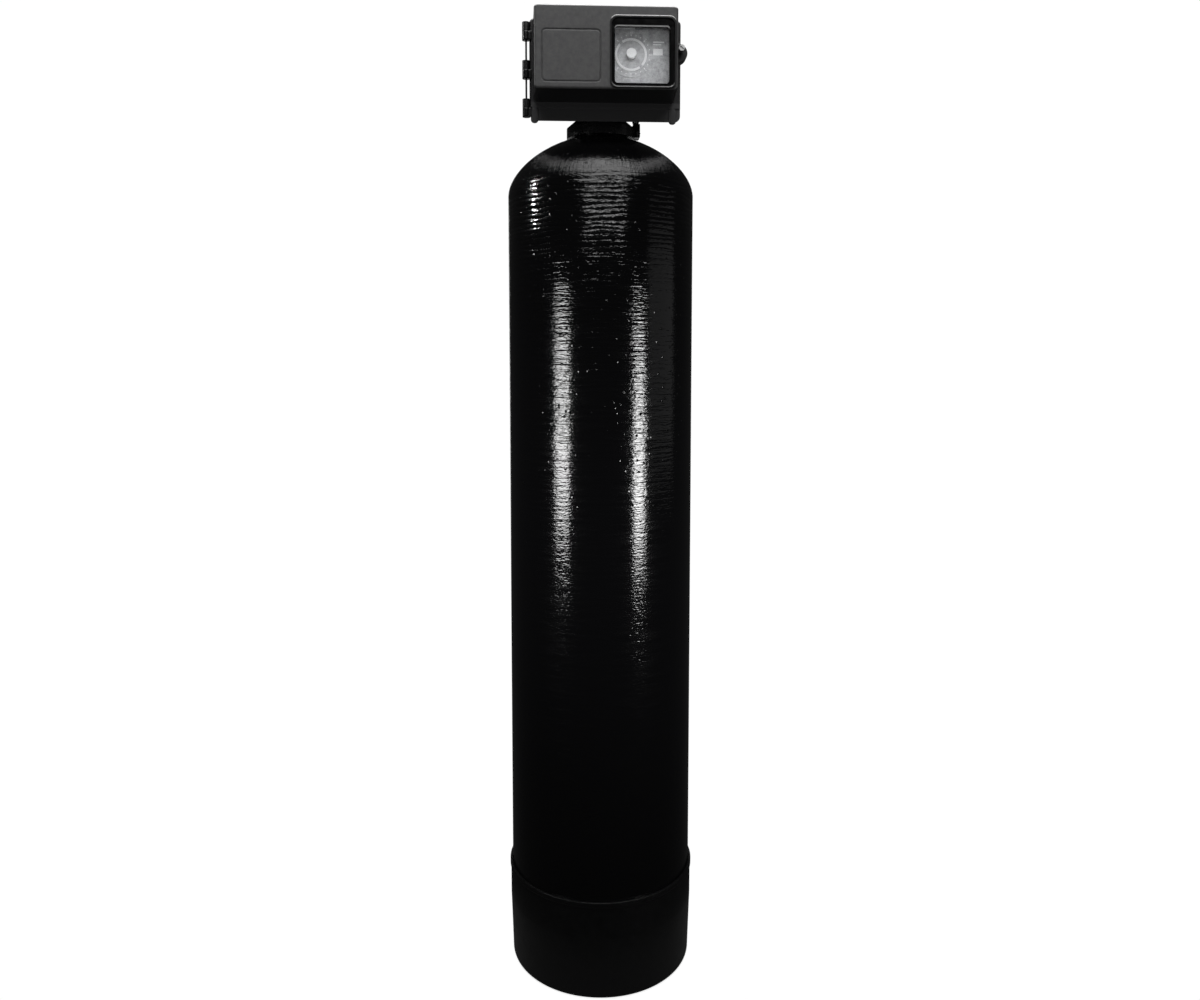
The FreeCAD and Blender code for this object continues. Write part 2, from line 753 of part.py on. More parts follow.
def valve_body():
    """Moulded body: foot and neck on the tank, a level piston barrel and its ports."""
    foot_top = adapter_top + foot_flange
    neck = cylinder(valve_neck_radius, piston_axis_height - adapter_top,
                    Vector(0, 0, adapter_top))
    flange = cylinder(adapter_flange_radius, foot_flange, Vector(0, 0, adapter_top))
    cone_rise = adapter_flange_radius - valve_neck_radius
    cone = Part.makeCone(adapter_flange_radius, valve_neck_radius, cone_rise,
                         Vector(0, 0, foot_top))
    barrel = cylinder(barrel_radius, valve_back - valve_front,
                      Vector(0, valve_front, piston_axis_height), Y_AXIS)
    front = round_block(-valve_flange_width / 2, valve_flange_width / 2, valve_front,
                        valve_front + valve_flange_thickness,
                        piston_axis_height - valve_flange_height / 2,
                        piston_axis_height + valve_flange_height / 2, valve_flange_round)
    ports = []
    for side in (-1, 1):
        ports.append(cylinder(port_boss_radius, port_back - port_start,
                              Vector(side * port_offset, port_start, port_height), Y_AXIS))
        ports.append(cylinder(port_boss_radius + port_collar, port_thread_length / 2,
                              Vector(side * port_offset, port_back - port_thread_length / 2,
                                     port_height), Y_AXIS))
        ports.append(cylinder(port_branch_radius, port_offset,
                              Vector(0, port_stations[side], port_height), X_AXIS * side))
    gusset = block(-port_offset, port_offset, port_start + port_boss_radius, valve_back,
                   port_height - port_rib / 2, port_height + port_rib / 2)
    keel = block(-port_rib / 2, port_rib / 2, 0, valve_back - port_rib,
                 adapter_top + foot_flange + 2 * cone_rise, piston_axis_height)
    drain = cylinder(drain_boss_radius, drain_boss_reach,
                     Vector(0, drain_axis_back, drain_axis_height), X_AXIS)
    body = neck.multiFuse([flange, cone, barrel, front, gusset, keel, drain] + ports)
    body = body.cut(block(-port_back, port_back, -port_back, valve_front,
                          housing_bottom - seat_gap, housing_top))
    for side in (-1, 1):
        body = body.cut(cylinder(port_thread_radius, port_thread_length,
                                 Vector(side * port_offset, port_back - port_thread_length,
                                        port_height), Y_AXIS))
        body = body.cut(cylinder(port_duct_radius, port_back - port_stations[side],
                                 Vector(side * port_offset, port_stations[side], port_height),
                                 Y_AXIS))
        body = body.cut(cylinder(port_duct_radius, port_offset,
                                 Vector(0, port_stations[side], port_height), X_AXIS * side))
        for rise in (-1, 1):
            body = body.cut(cylinder(screw_radius, valve_flange_thickness,
                                     valve_screw(side, rise, valve_front), Y_AXIS))
    bore = cylinder(barrel_bore, barrel_end - valve_front,
                    Vector(0, valve_front, piston_axis_height), Y_AXIS)
    drain_hole = cylinder(drain_thread_radius, drain_thread_length,
                          Vector(drain_boss_reach - drain_thread_length, drain_axis_back,
                                 drain_axis_height), X_AXIS)
    drain_duct = cylinder(drain_bore_radius, drain_boss_reach,
                          Vector(0, drain_axis_back, drain_axis_height), X_AXIS)
    socket = cylinder(riser_radius + running_gap, riser_socket_depth + seat_gap,
                      Vector(0, 0, adapter_top))
    riser_duct = cylinder(riser_radius - riser_wall,
                          piston_axis_height - barrel_radius - adapter_top,
                          Vector(0, 0, adapter_top))
    riser_rise = cylinder(tank_duct_radius, piston_axis_height - adapter_top - riser_socket_depth,
                          Vector(0, stations[0], adapter_top + riser_socket_depth))
    tank_duct = cylinder(tank_duct_radius, piston_axis_height - adapter_top,
                         Vector(0, tank_duct_offset, adapter_top))
    ring_seat = cylinder(riser_radius + 2 * ring_section + 2 * running_gap,
                         2 * ring_section + 2 * running_gap, Vector(0, 0, adapter_top))
    return body.cut([bore, drain_hole, drain_duct, socket, riser_duct, riser_rise, tank_duct,
                     ring_seat])


def valve_screw(side, rise, y):
    return Vector(side * valve_screw_x, y, piston_axis_height + rise * valve_screw_z)


def piston_seals():
    """Rubber seals between the spacers, each a ring round the piston."""
    seals = []
    for index in range(seal_count):
        start = end_plug_back + index * (seal_thickness + spacer_length)
        seals.append(tube(barrel_bore - running_gap, piston_radius + running_gap, seal_thickness,
                          Vector(0, start, piston_axis_height), Y_AXIS))
    return seals


def seal_spacers():
    """Open cages that hold the seals apart and let water into the barrel."""
    spacers = []
    for index in range(seal_count - 1):
        middle = stations[index]
        cage = tube(barrel_bore - running_gap, barrel_bore - running_gap - spacer_wall,
                    spacer_length, Vector(0, middle - spacer_length / 2, piston_axis_height),
                    Y_AXIS)
        window = cylinder(0.3 * spacer_length, 2 * barrel_bore,
                          Vector(0, middle, piston_axis_height), Z_AXIS)
        spacers.append(cage.cut(around(window, spacer_window_count,
                                       Vector(0, 0, piston_axis_height), Y_AXIS)))
    return spacers


def end_plug():
    """Plug that closes the barrel and guides the piston rod."""
    flange_back = housing_inner_back
    plug = cylinder(barrel_bore - running_gap, end_plug_back - flange_back,
                    Vector(0, flange_back, piston_axis_height), Y_AXIS)
    flange = cylinder(end_plug_flange_radius, valve_front - flange_back,
                      Vector(0, flange_back, piston_axis_height), Y_AXIS)
    seal_seat = cylinder(rod_radius + 2 * ring_section, 2 * ring_section,
                         Vector(0, end_plug_back - 2 * ring_section, piston_axis_height), Y_AXIS)
    guide = cylinder(rod_radius + running_gap, 2 * end_plug_length,
                     Vector(0, flange_back, piston_axis_height), Y_AXIS)
    return plug.fuse(flange).removeSplitter().cut([guide, seal_seat])


def rod_seal():
    """Rubber ring in the end plug, round the rod."""
    return tube(rod_radius + 2 * ring_section - running_gap, rod_radius + running_gap,
                2 * ring_section - running_gap,
                Vector(0, end_plug_back - 2 * ring_section, piston_axis_height), Y_AXIS)


def piston():
    """Spool with a narrow waist that joins and parts the ports as it slides."""
    front = piston_back - piston_length
    spool = cylinder(piston_radius, piston_length, Vector(0, front, piston_axis_height), Y_AXIS)
    waist = tube(2 * piston_radius, piston_waist_radius, piston_waist_length,
                 Vector(0, piston_back - (piston_length + piston_waist_length) / 2,
                        piston_axis_height), Y_AXIS)
    socket = cylinder(rod_radius, 2 * rod_radius, Vector(0, front, piston_axis_height), Y_AXIS)
    return spool.cut(waist).cut(socket)


def yoke_half_depth():
    return crank_pin_radius + yoke_slack + yoke_rim


def piston_rod():
    start = rod_front + yoke_half_depth()
    end = piston_back - piston_length + 2 * rod_radius
    return cylinder(rod_radius, end - start, Vector(0, start, piston_axis_height), Y_AXIS)


def drive_yoke():
    """Slotted yoke on the rod's front end. The crank pin slides up and down in its slot."""
    half_depth = yoke_half_depth()
    slot_half = crank_throw + crank_pin_radius + seat_gap
    yoke = round_slot(half_depth, slot_half + yoke_rim, yoke_thickness)
    slot = round_slot(half_depth - yoke_rim, slot_half, 2 * yoke_thickness)
    return yoke.cut(slot)


def round_slot(half_depth, half_height, thickness):
    """Upright bar with rounded corners, centred on the crank pin's rest place."""
    centre = Vector(-thickness / 2, rod_front, piston_axis_height)
    body = block(-thickness / 2, thickness / 2, rod_front - half_depth, rod_front + half_depth,
                 centre.z - half_height, centre.z + half_height)
    edges = [edge for edge in body.Edges if abs(edge.tangentAt(edge.FirstParameter).x) > 0.99]
    return body.makeFillet(0.6 * half_depth, edges)


def drain_fitting():
    """Hose tail that screws into the drain port and holds the flow button."""
    start = drain_boss_reach
    centre = Vector(start, drain_axis_back, drain_axis_height)
    thread = cylinder(drain_thread_radius - running_gap, drain_thread_length,
                      centre - X_AXIS * drain_thread_length, X_AXIS)
    nut = hexagon(drain_hex_width, drain_hex_length, centre, X_AXIS)
    stem = cylinder(drain_body_radius, drain_body_length, centre + X_AXIS * drain_hex_length,
                    X_AXIS)
    tail_start = centre + X_AXIS * (drain_hex_length + drain_body_length)
    pitch = drain_barb_length / drain_barb_count
    barbs = []
    for index in range(drain_barb_count):
        barbs.append(Part.makeCone(drain_barb_radius, drain_barb_radius - drain_barb_step, pitch,
                                   tail_start + X_AXIS * (index * pitch), X_AXIS))
    body = joined([thread, nut, stem] + barbs)
    bore = cylinder(drain_bore_radius, 4 * drain_barb_length, centre - X_AXIS * drain_barb_length,
                    X_AXIS)
    pocket = cylinder(flow_button_radius + running_gap, flow_button_thickness,
                      centre - X_AXIS * drain_thread_length, X_AXIS)
    return body.cut([bore, pocket])


def flow_button():
    """Rubber washer that limits the flow to the drain."""
    start = Vector(drain_boss_reach - drain_thread_length, drain_axis_back, drain_axis_height)
    return tube(flow_button_radius, flow_button_hole, flow_button_thickness, start, X_AXIS)


def knuckle_bases():
    """Lowest height of each hinge block, evenly spaced over the housing's height."""
    low = flange_bottom + knuckle_low
    pitch = (housing_top - knuckle_inset - knuckle_block - low) / (knuckle_block_count - 1)
    return [low + index * pitch for index in range(knuckle_block_count)]


def knuckles(upper):
    """Hinge barrels of the housing, the upper half of each block, or of the cover."""
    half = (knuckle_block - knuckle_gap) / 2
    shift = half + knuckle_gap if upper else 0.0
    barrels = []
    for base in knuckle_bases():
        barrels.append((base + shift, half))
    return barrels


def hinge_bore():
    return cylinder(hinge_pin_radius + running_gap, 2 * housing_top,
                    Vector(hinge_x, housing_front, 0))


def knuckle_pockets(barrels):
    return [cylinder(knuckle_radius + knuckle_room, height + 2 * knuckle_gap,
                     Vector(hinge_x, housing_front, base - knuckle_gap))
            for base, height in barrels]


def ear(y0, y1):
    """Round ear at the right edge that carries the cover screw."""
    return cylinder(ear_radius, y1 - y0, Vector(ear_x, y0, ear_height), Y_AXIS)


def back_housing():
    """Moulded tray behind the cover, open to the front."""
    outer = round_block(housing_left, housing_right, housing_front, valve_front, housing_bottom,
                        housing_top, housing_corner)
    inner = round_block(housing_left + housing_wall, housing_right - housing_wall,
                        housing_front - 1, housing_inner_back, housing_bottom + housing_wall,
                        housing_top - housing_wall, housing_corner - housing_wall)
    tray = outer.cut(inner)
    parts = [tray, ear(housing_front, housing_front + ear_boss_depth).cut(inner)]
    for side in (-1, 1):
        rib_x = side * housing_rib_x
        parts.append(block(rib_x - housing_wall / 2, rib_x + housing_wall / 2,
                           housing_inner_back - housing_rib, housing_inner_back + 1,
                           housing_bottom + 1, housing_top - 1))
    for base, height in knuckles(True):
        barrel = cylinder(knuckle_radius, height, Vector(hinge_x, housing_front, base))
        leaf = block(hinge_x, housing_left + housing_wall, housing_front,
                     housing_front + knuckle_radius, max(base, housing_bottom), base + height)
        parts += [barrel, leaf]
    tray = joined(parts)
    gland_hole = cylinder(gland_radius + bolt_gap, housing_wall + 2,
                          Vector(gland_x, gland_y, housing_bottom - 1))
    plug_hole = cylinder(end_plug_flange_radius + bolt_gap, 2 * housing_wall,
                         Vector(0, housing_inner_back - 1, piston_axis_height), Y_AXIS)
    screw_hole = cylinder(cover_screw_radius + running_gap, 2 * ear_boss_depth,
                          Vector(ear_screw_x, housing_front - 1, ear_screw_height), Y_AXIS)
    cutters = [gland_hole, plug_hole, screw_hole, hinge_bore()] + knuckle_pockets(knuckles(False))
    for side in (-1, 1):
        for rise in (-1, 1):
            cutters.append(cylinder(screw_radius + bolt_gap, 2 * housing_wall,
                                    valve_screw(side, rise, housing_inner_back - 1), Y_AXIS))
    return tray.cut(cutters)


def housing_screws():
    """Four screws into the valve. The left two hold the drive bracket as well."""
    screws = []
    for side in (-1, 1):
        for rise in (-1, 1):
            seat = housing_inner_back - (bracket_sheet if side < 0 else 0.0)
            head = cylinder(screw_head_radius, screw_head,
                            valve_screw(side, rise, seat - screw_head), Y_AXIS)
            tip = valve_front + valve_flange_thickness
            shank = cylinder(screw_radius - running_gap, tip - seat,
                             valve_screw(side, rise, seat), Y_AXIS)
            screws.append(joined([head, shank]))
    return screws


def front_cover():
    """Deep cover with a rim, a window opening in a raised frame and a label recess."""
    left, right = cover_left, cover_right
    shell = drafted_block(left, right, cover_front, cover_back, cover_bottom, housing_top,
                          cover_corner, cover_draft, cover_foot_draft)
    front_edges = [edge for edge in shell.Edges if edge.BoundBox.YMax < cover_front + 0.01]
    shell = shell.makeFillet(cover_edge_round, front_edges)
    rim = round_block(flange_left, housing_right, flange_front, cover_back, flange_bottom,
                      housing_top, flange_corner)
    step = block(flange_left - 1, housing_right + 1, flange_front - 1, flange_front + flange_step,
                 flange_bottom - 1, housing_bottom)
    rim = rim.cut(step)
    feet = []
    for x0, x1 in ((flange_left, flange_left + flange_foot_width),
                   (housing_right - flange_foot_inset - flange_foot_width,
                    housing_right - flange_foot_inset)):
        feet.append(round_block(x0, x1, flange_front, cover_back,
                                flange_bottom - flange_foot_drop, housing_bottom,
                                flange_foot_round))
    bezel = round_block(window_left - bezel_side, window_left + window_width + bezel_right,
                        cover_front - bezel_proud, cover_front + cover_wall,
                        window_bottom - bezel_below, window_bottom + window_height + bezel_above,
                        bezel_corner)
    parts = [shell, rim, bezel, ear(cover_back - ear_thickness, cover_back)] + feet
    for base, height in knuckles(False):
        barrel = cylinder(knuckle_radius, height, Vector(hinge_x, housing_front, base))
        leaf = block(hinge_x, flange_left + 1, flange_front - hinge_leaf / 2,
                     flange_front + hinge_leaf / 2, base, base + height)
        parts += [barrel, leaf]
    body = joined(parts)
    hollow = drafted_block(left + cover_wall, right - cover_wall, cover_front + cover_wall,
                           cover_back + 1, cover_bottom + cover_wall, housing_top - cover_wall,
                           cover_corner - cover_wall, cover_draft, cover_foot_draft)
    window = round_block(window_left, window_left + window_width, cover_front - 2 * bezel_proud,
                         cover_front + 2 * cover_wall, window_bottom,
                         window_bottom + window_height, window_corner)
    frame_step = round_block(window_left - bezel_step, window_left + window_width + bezel_step_right,
                             cover_front - 2 * bezel_proud, cover_front - bezel_proud / 2,
                             window_bottom - bezel_step,
                             window_bottom + window_height + bezel_step_above,
                             window_corner + bezel_step)
    cutters = [hollow, window, frame_step, label_recess(), hinge_bore()]
    cutters.append(cylinder(cover_screw_radius + running_gap, 4 * ear_thickness,
                            Vector(ear_screw_x, cover_back - 2 * ear_thickness,
                                   ear_screw_height), Y_AXIS))
    cutters += knuckle_pockets(knuckles(True))
    return body.cut(cutters)


def label_recess():
    """Fine groove round a bare label place."""
    outer = round_block(label_left, label_left + label_width, cover_front - 1,
                        cover_front + label_groove_depth, label_bottom,
                        label_bottom + label_height, label_corner)
    inner = round_block(label_left + label_groove, label_left + label_width - label_groove,
                        cover_front - 2, cover_front + 1, label_bottom + label_groove,
                        label_bottom + label_height - label_groove, label_corner - label_groove)
    return outer.cut(inner)


def window_pane():
    back = cover_front + cover_wall
    return round_block(window_left - pane_lap, window_left + window_width + pane_lap, back,
                       back + pane_thickness, window_bottom - pane_lap,
                       window_bottom + window_height + pane_lap, window_corner)


def hinge_pin():
    bases = knuckle_bases()
    low = bases[0] - seat_gap
    high = bases[-1] + knuckle_block + running_gap
    shank = cylinder(hinge_pin_radius, high - low, Vector(hinge_x, housing_front, low))
    head = cylinder(hinge_pin_head, hinge_pin_head_height, Vector(hinge_x, housing_front, high))
    return joined([shank, head])


def cover_screw():
    """Captive screw with a fluted head. At rest it is backed out, clear of the housing."""
    tip = Vector(ear_screw_x, cover_back, ear_screw_height)
    seat = cover_back - ear_thickness - cover_screw_travel
    shank = cylinder(cover_screw_radius, cover_back - seat, Vector(tip.x, seat, tip.z), Y_AXIS)
    head = cylinder(cover_screw_head_radius, cover_screw_head,
                    Vector(tip.x, seat - cover_screw_head, tip.z), Y_AXIS)
    flute = cylinder(cover_screw_flute_radius, cover_screw_head,
                     Vector(tip.x + cover_screw_head_radius, seat - cover_screw_head, tip.z),
                     Y_AXIS)
    head = head.cut(around(flute, cover_screw_flutes, tip, Y_AXIS))
    slot = block(tip.x - 2 * cover_screw_head_radius, tip.x + 2 * cover_screw_head_radius,
                 seat - cover_screw_head, seat - cover_screw_head + cover_screw_slot_depth,
                 tip.z - cover_screw_slot_width / 2, tip.z + cover_screw_slot_width / 2)
    slot.rotate(tip, Y_AXIS, cover_screw_slot_angle)
    return joined([shank, head]).cut(slot)


def drive_bracket():
    """Bent sheet: one flange on the housing, a cheek for the drive, one for the timer."""
    side_back = bracket_side_x - bracket_sheet
    back = block(side_back - bracket_flange, bracket_side_x,
                 housing_inner_back - bracket_sheet, housing_inner_back,
                 bracket_bottom, bracket_top)
    cheek = block(side_back, bracket_side_x, timer_plate_back, housing_inner_back,
                  bracket_bottom, bracket_top)
    front = block(side_back - bracket_front_flange, bracket_side_x, timer_plate_back,
                  timer_plate_back + bracket_sheet, bracket_bottom, bracket_top)
    body = joined([back, cheek, front])
    cutters = [
        cylinder(end_plug_flange_radius + bolt_gap, 4 * bracket_sheet,
                 Vector(0, housing_inner_back - 2 * bracket_sheet, piston_axis_height), Y_AXIS),
        cylinder(shaft_radius + running_gap, 4 * bracket_sheet,
                 gear_centre(side_back - bracket_sheet), X_AXIS),
        cylinder(shaft_radius + running_gap, 4 * bracket_sheet,
                 pinion_centre(side_back - bracket_sheet), X_AXIS),
    ]
    for rise in (-1, 1):
        cutters.append(cylinder(screw_radius + bolt_gap, 4 * bracket_sheet,
                                valve_screw(-1, rise, housing_inner_back - 2 * bracket_sheet),
                                Y_AXIS))
    return body.cut(cutters)


def gear_centre(x):
    return Vector(x, drive_gear_y, piston_axis_height)


def pinion_centre(x):
    angle = math.radians(pinion_angle)
    return Vector(x, drive_gear_y + pinion_distance * math.cos(angle),
                  piston_axis_height + pinion_distance * math.sin(angle))


def drive_gearbox():
    back = bracket_side_x - bracket_sheet
    box = cylinder(gearbox_radius, gearbox_length, pinion_centre(back - gearbox_length), X_AXIS)
    rim = [edge for edge in box.Edges if edge.BoundBox.XMax < back - gearbox_length + 0.1
           and edge.Length > gearbox_radius]
    return box.makeFillet(gearbox_round, rim)


def drive_motor():
    back = bracket_side_x - bracket_sheet - gearbox_length
    can = cylinder(motor_radius, motor_length, pinion_centre(back - motor_length), X_AXIS)
    rim = [edge for edge in can.Edges if edge.BoundBox.XMax < back - motor_length + 0.1
           and edge.Length > motor_radius]
    return can.makeFillet(motor_round, rim)


def drive_pinion():
    """Motor pinion on its shaft, through the bracket."""
    start = bracket_side_x - bracket_sheet + seat_gap
    wheel = gear_disc(drive_pinion_teeth, gear_thickness, pinion_centre(drive_gear_x), X_AXIS,
                      pinion_angle + 180.0 + 180.0 / drive_pinion_teeth)
    shaft = cylinder(shaft_radius, drive_gear_x + gear_thickness - start, pinion_centre(start),
                     X_AXIS)
    return joined([wheel, shaft])


def drive_gear():
    """Moulded gear with a thin web, spokes and a hub. It carries the crank pin."""
    wheel = gear_disc(drive_gear_teeth, gear_thickness, gear_centre(drive_gear_x), X_AXIS,
                      pinion_angle)
    rim_inner = gear_pitch_radius - tooth_root_depth * gear_module - drive_gear_rim
    recess = tube(rim_inner, drive_gear_hub_radius, drive_gear_web,
                  gear_centre(drive_gear_x + gear_thickness - drive_gear_web), X_AXIS)
    boss = cylinder(2 * crank_pin_radius, gear_thickness, crank_centre(drive_gear_x), X_AXIS)
    wheel = wheel.cut(recess).fuse(boss).removeSplitter()
    window = cylinder(drive_gear_hole_radius, gear_thickness,
                      gear_centre(drive_gear_x) + Z_AXIS * drive_gear_hole_ring, X_AXIS)
    holes = around(window, drive_gear_hole_count, gear_centre(0), X_AXIS, 30.0)
    bore = cylinder(shaft_radius, gear_thickness, gear_centre(drive_gear_x), X_AXIS)
    socket = cylinder(crank_pin_radius, gear_thickness, crank_centre(drive_gear_x), X_AXIS)
    return wheel.cut(holes + [bore, socket])


def crank_centre(x):
    return gear_centre(x) + Y_AXIS * crank_throw


def crank_pin():
    reach = yoke_thickness / 2 + crank_pin_end
    return cylinder(crank_pin_radius, reach - drive_gear_x, crank_centre(drive_gear_x), X_AXIS)


def gear_shaft():
    """Turns with the gear, in the bracket's hole."""
    start = bracket_side_x - bracket_sheet - shaft_end
    shaft = cylinder(shaft_radius, drive_gear_x + gear_thickness - start, gear_centre(start),
                     X_AXIS)
    collar = cylinder(1.5 * shaft_radius, shaft_collar, gear_centre(start), X_AXIS)
    return joined([shaft, collar])


def cam_starts():
    first = bracket_side_x + seat_gap
    return [first, first + cam_thickness + seat_gap]


def drive_cams():
    """Two notched discs beside the gear that work the limit switches."""
    cams = []
    for start, angle in zip(cam_starts(), (0.0, 180.0)):
        disc = cylinder(cam_radius, cam_thickness, gear_centre(start), X_AXIS)
        bore = cylinder(shaft_radius, cam_thickness, gear_centre(start), X_AXIS)
        notch = block(start, start + cam_thickness, drive_gear_y - cam_notch_width / 2,
                      drive_gear_y + cam_notch_width / 2,
                      piston_axis_height + cam_radius - cam_notch_depth,
                      piston_axis_height + 2 * cam_radius)
        notch.rotate(gear_centre(0), X_AXIS, angle + cam_notch_angle)
        cams.append(disc.cut([bore, notch]))
    return cams


def switch_level(side):
    """Height of a switch body's face towards its cam, above or below the cams."""
    return piston_axis_height + side * (cam_radius + seat_gap + 2 * switch_roller_radius
                                        + switch_lever_sheet + switch_lever_gap)


def limit_switches():
    switches = []
    for side, start in zip((1, -1), cam_starts()):
        face = switch_level(side)
        low, high = sorted((face, face + side * switch_height))
        body = block(bracket_side_x, bracket_side_x + switch_thickness,
                     drive_gear_y - switch_length / 2, drive_gear_y + switch_length / 2, low, high)
        button_low, button_high = sorted((face, face - side * switch_button))
        button = block(start + 1, start + cam_thickness - 1, drive_gear_y - 2,
                       drive_gear_y + 1, button_low, button_high)
        pivot = switch_pivot(side, start)
        seat_low, seat_high = sorted((face, pivot.z))
        seat = block(start, start + switch_lever_width, pivot.y,
                     pivot.y + 1.5 * switch_pivot_radius, seat_low, seat_high)
        seat = seat.cut(cylinder(switch_pivot_radius + running_gap, 2 * switch_lever_width,
                                 pivot - X_AXIS, X_AXIS))
        switches.append(joined([body, button, seat]))
    return switches


def switch_pivot(side, x):
    """Point on the axis of a switch lever's pivot."""
    level = switch_level(side) - side * (switch_lever_gap + switch_lever_sheet / 2)
    return Vector(x, drive_gear_y + switch_length / 2 - 2, level)


def switch_lever(side, start):
    """Spring lever with a roller that rides on its cam."""
    pivot = switch_pivot(side, start)
    width = switch_lever_width - 2 * seat_gap
    lever = block(start, start + width, pivot.y - switch_lever_length, pivot.y,
                  pivot.z - switch_lever_sheet / 2, pivot.z + switch_lever_sheet / 2)
    barrel = cylinder(switch_pivot_radius, width, pivot, X_AXIS)
    roller_z = pivot.z - side * (switch_lever_sheet / 2 + switch_roller_radius)
    roller = cylinder(switch_roller_radius, width, Vector(start, drive_gear_y, roller_z), X_AXIS)
    cheek_low, cheek_high = sorted((pivot.z, roller_z))
    cheek = block(start, start + width, drive_gear_y - 1, drive_gear_y + 1, cheek_low, cheek_high)
    return joined([lever, barrel, roller, cheek])


def timer_plate():
    plate = block(timer_plate_left, timer_plate_right, timer_plate_front, timer_plate_back,
                  timer_plate_bottom, timer_plate_top)
    pinion = timer_pinion_centre(timer_plate_front)
    return plate.cut([
        cylinder(spindle_radius + running_gap, timer_plate_sheet,
                 Vector(dial_x, timer_plate_front, dial_z), Y_AXIS),
        cylinder(spindle_radius + running_gap, timer_plate_sheet,
                 Vector(skipper_x, timer_plate_front, dial_z), Y_AXIS),
        cylinder(shaft_radius + running_gap, timer_plate_sheet, pinion, Y_AXIS),
    ])


def post_places():
    return [(timer_plate_right - post_side_margin, timer_plate_top - post_top_margin),
            (dial_x - post_shift, timer_plate_bottom + post_foot_margin)]


def timer_posts():
    """Spacers between the housing and the timer's plate."""
    return [cylinder(post_radius, housing_inner_back - timer_plate_back,
                     Vector(x, timer_plate_back, z), Y_AXIS) for x, z in post_places()]


def timer_pinion_centre(y):
    angle = math.radians(timer_pinion_angle)
    return Vector(dial_x + timer_distance * math.cos(angle), y,
                  dial_z + timer_distance * math.sin(angle))


def timer_motor():
    can = cylinder(timer_motor_radius, timer_motor_length, timer_pinion_centre(timer_plate_back),
                   Y_AXIS)
    rim = [edge for edge in can.Edges if edge.BoundBox.YMin > timer_plate_back + 1
           and edge.Length > timer_motor_radius]
    return can.makeFillet(timer_motor_round, rim)


def timer_pinion():
    wheel = gear_disc(timer_pinion_teeth, day_gear_thickness,
                      timer_pinion_centre(day_gear_back), Y_AXIS * -1,
                      timer_pinion_angle + 180.0 + 180.0 / timer_pinion_teeth)
    shaft = cylinder(shaft_radius, timer_plate_back - seat_gap - day_gear_front,
                     timer_pinion_centre(day_gear_front), Y_AXIS)
    return joined([wheel, shaft])


def day_gear():
    """Large gear that turns once a day, on a hollow hub."""
    wheel = gear_disc(day_gear_teeth, day_gear_thickness, Vector(dial_x, day_gear_back, dial_z),
                      Y_AXIS * -1, timer_pinion_angle)
    hub_front = dial_panel_front + day_dial_thickness
    hub = cylinder(day_hub_radius, day_gear_front - hub_front,
                   Vector(dial_x, hub_front, dial_z), Y_AXIS)
    window = cylinder(day_gear_hole_radius, day_gear_thickness,
                      Vector(dial_x + day_gear_hole_ring, day_gear_front, dial_z), Y_AXIS)
    bore = cylinder(spindle_radius + running_gap, day_gear_back - hub_front,
                    Vector(dial_x, hub_front, dial_z), Y_AXIS)
    holes = around(window, day_gear_hole_count, Vector(dial_x, 0, dial_z), Y_AXIS)
    return joined([wheel, hub]).cut(holes + [bore])


def day_dial():
    return tube(day_dial_radius, spindle_radius + running_gap, day_dial_thickness,
                Vector(dial_x, dial_panel_front, dial_z), Y_AXIS)


def dial_ring():
    """Raised ring in two arcs, with gaps at the upper left and the lower right."""
    ring = tube(dial_ring_radius, dial_ring_radius - dial_ring_width, dial_ring_height,
                Vector(dial_x, dial_panel_front - dial_ring_height, dial_z), Y_AXIS)
    gap = block(dial_x - 2 * dial_ring_radius, dial_x + 2 * dial_ring_radius,
                dial_panel_front - dial_ring_height, dial_panel_front, dial_z - dial_ring_gap / 2,
                dial_z + dial_ring_gap / 2)
    gap.rotate(Vector(dial_x, 0, dial_z), Y_AXIS, dial_ring_gap_angle)
    return ring.cut(gap).Solids


def regeneration_knob():
    """Knob on the spindle that starts a backwash by hand."""
    back = dial_panel_front - seat_gap - dial_ring_height
    knob = cylinder(knob_radius, knob_length, Vector(dial_x, back - knob_length, dial_z), Y_AXIS)
    front = [edge for edge in knob.Edges if edge.BoundBox.YMax < back - knob_length + 0.1
             and edge.Length > knob_radius]
    knob = knob.makeFillet(knob_round, front)
    spindle = cylinder(spindle_radius, timer_plate_back + 2 * cycle_cam_thickness - back,
                       Vector(dial_x, back, dial_z), Y_AXIS)
    return joined([knob, spindle])


def cycle_cam():
    """Cam on the spindle's back end that times the stages of a backwash."""
    start = Vector(dial_x, timer_plate_back + seat_gap, dial_z)
    disc = tube(cycle_cam_radius, spindle_radius, cycle_cam_thickness, start, Y_AXIS)
    notch = cylinder(cycle_cam_notch_radius, cycle_cam_thickness,
                     start + X_AXIS * cycle_cam_radius, Y_AXIS)
    return disc.cut(around(notch, cycle_cam_notch_count, start, Y_AXIS, 20.0))


def skipper_centre(y):
    return Vector(skipper_x, y, dial_z)


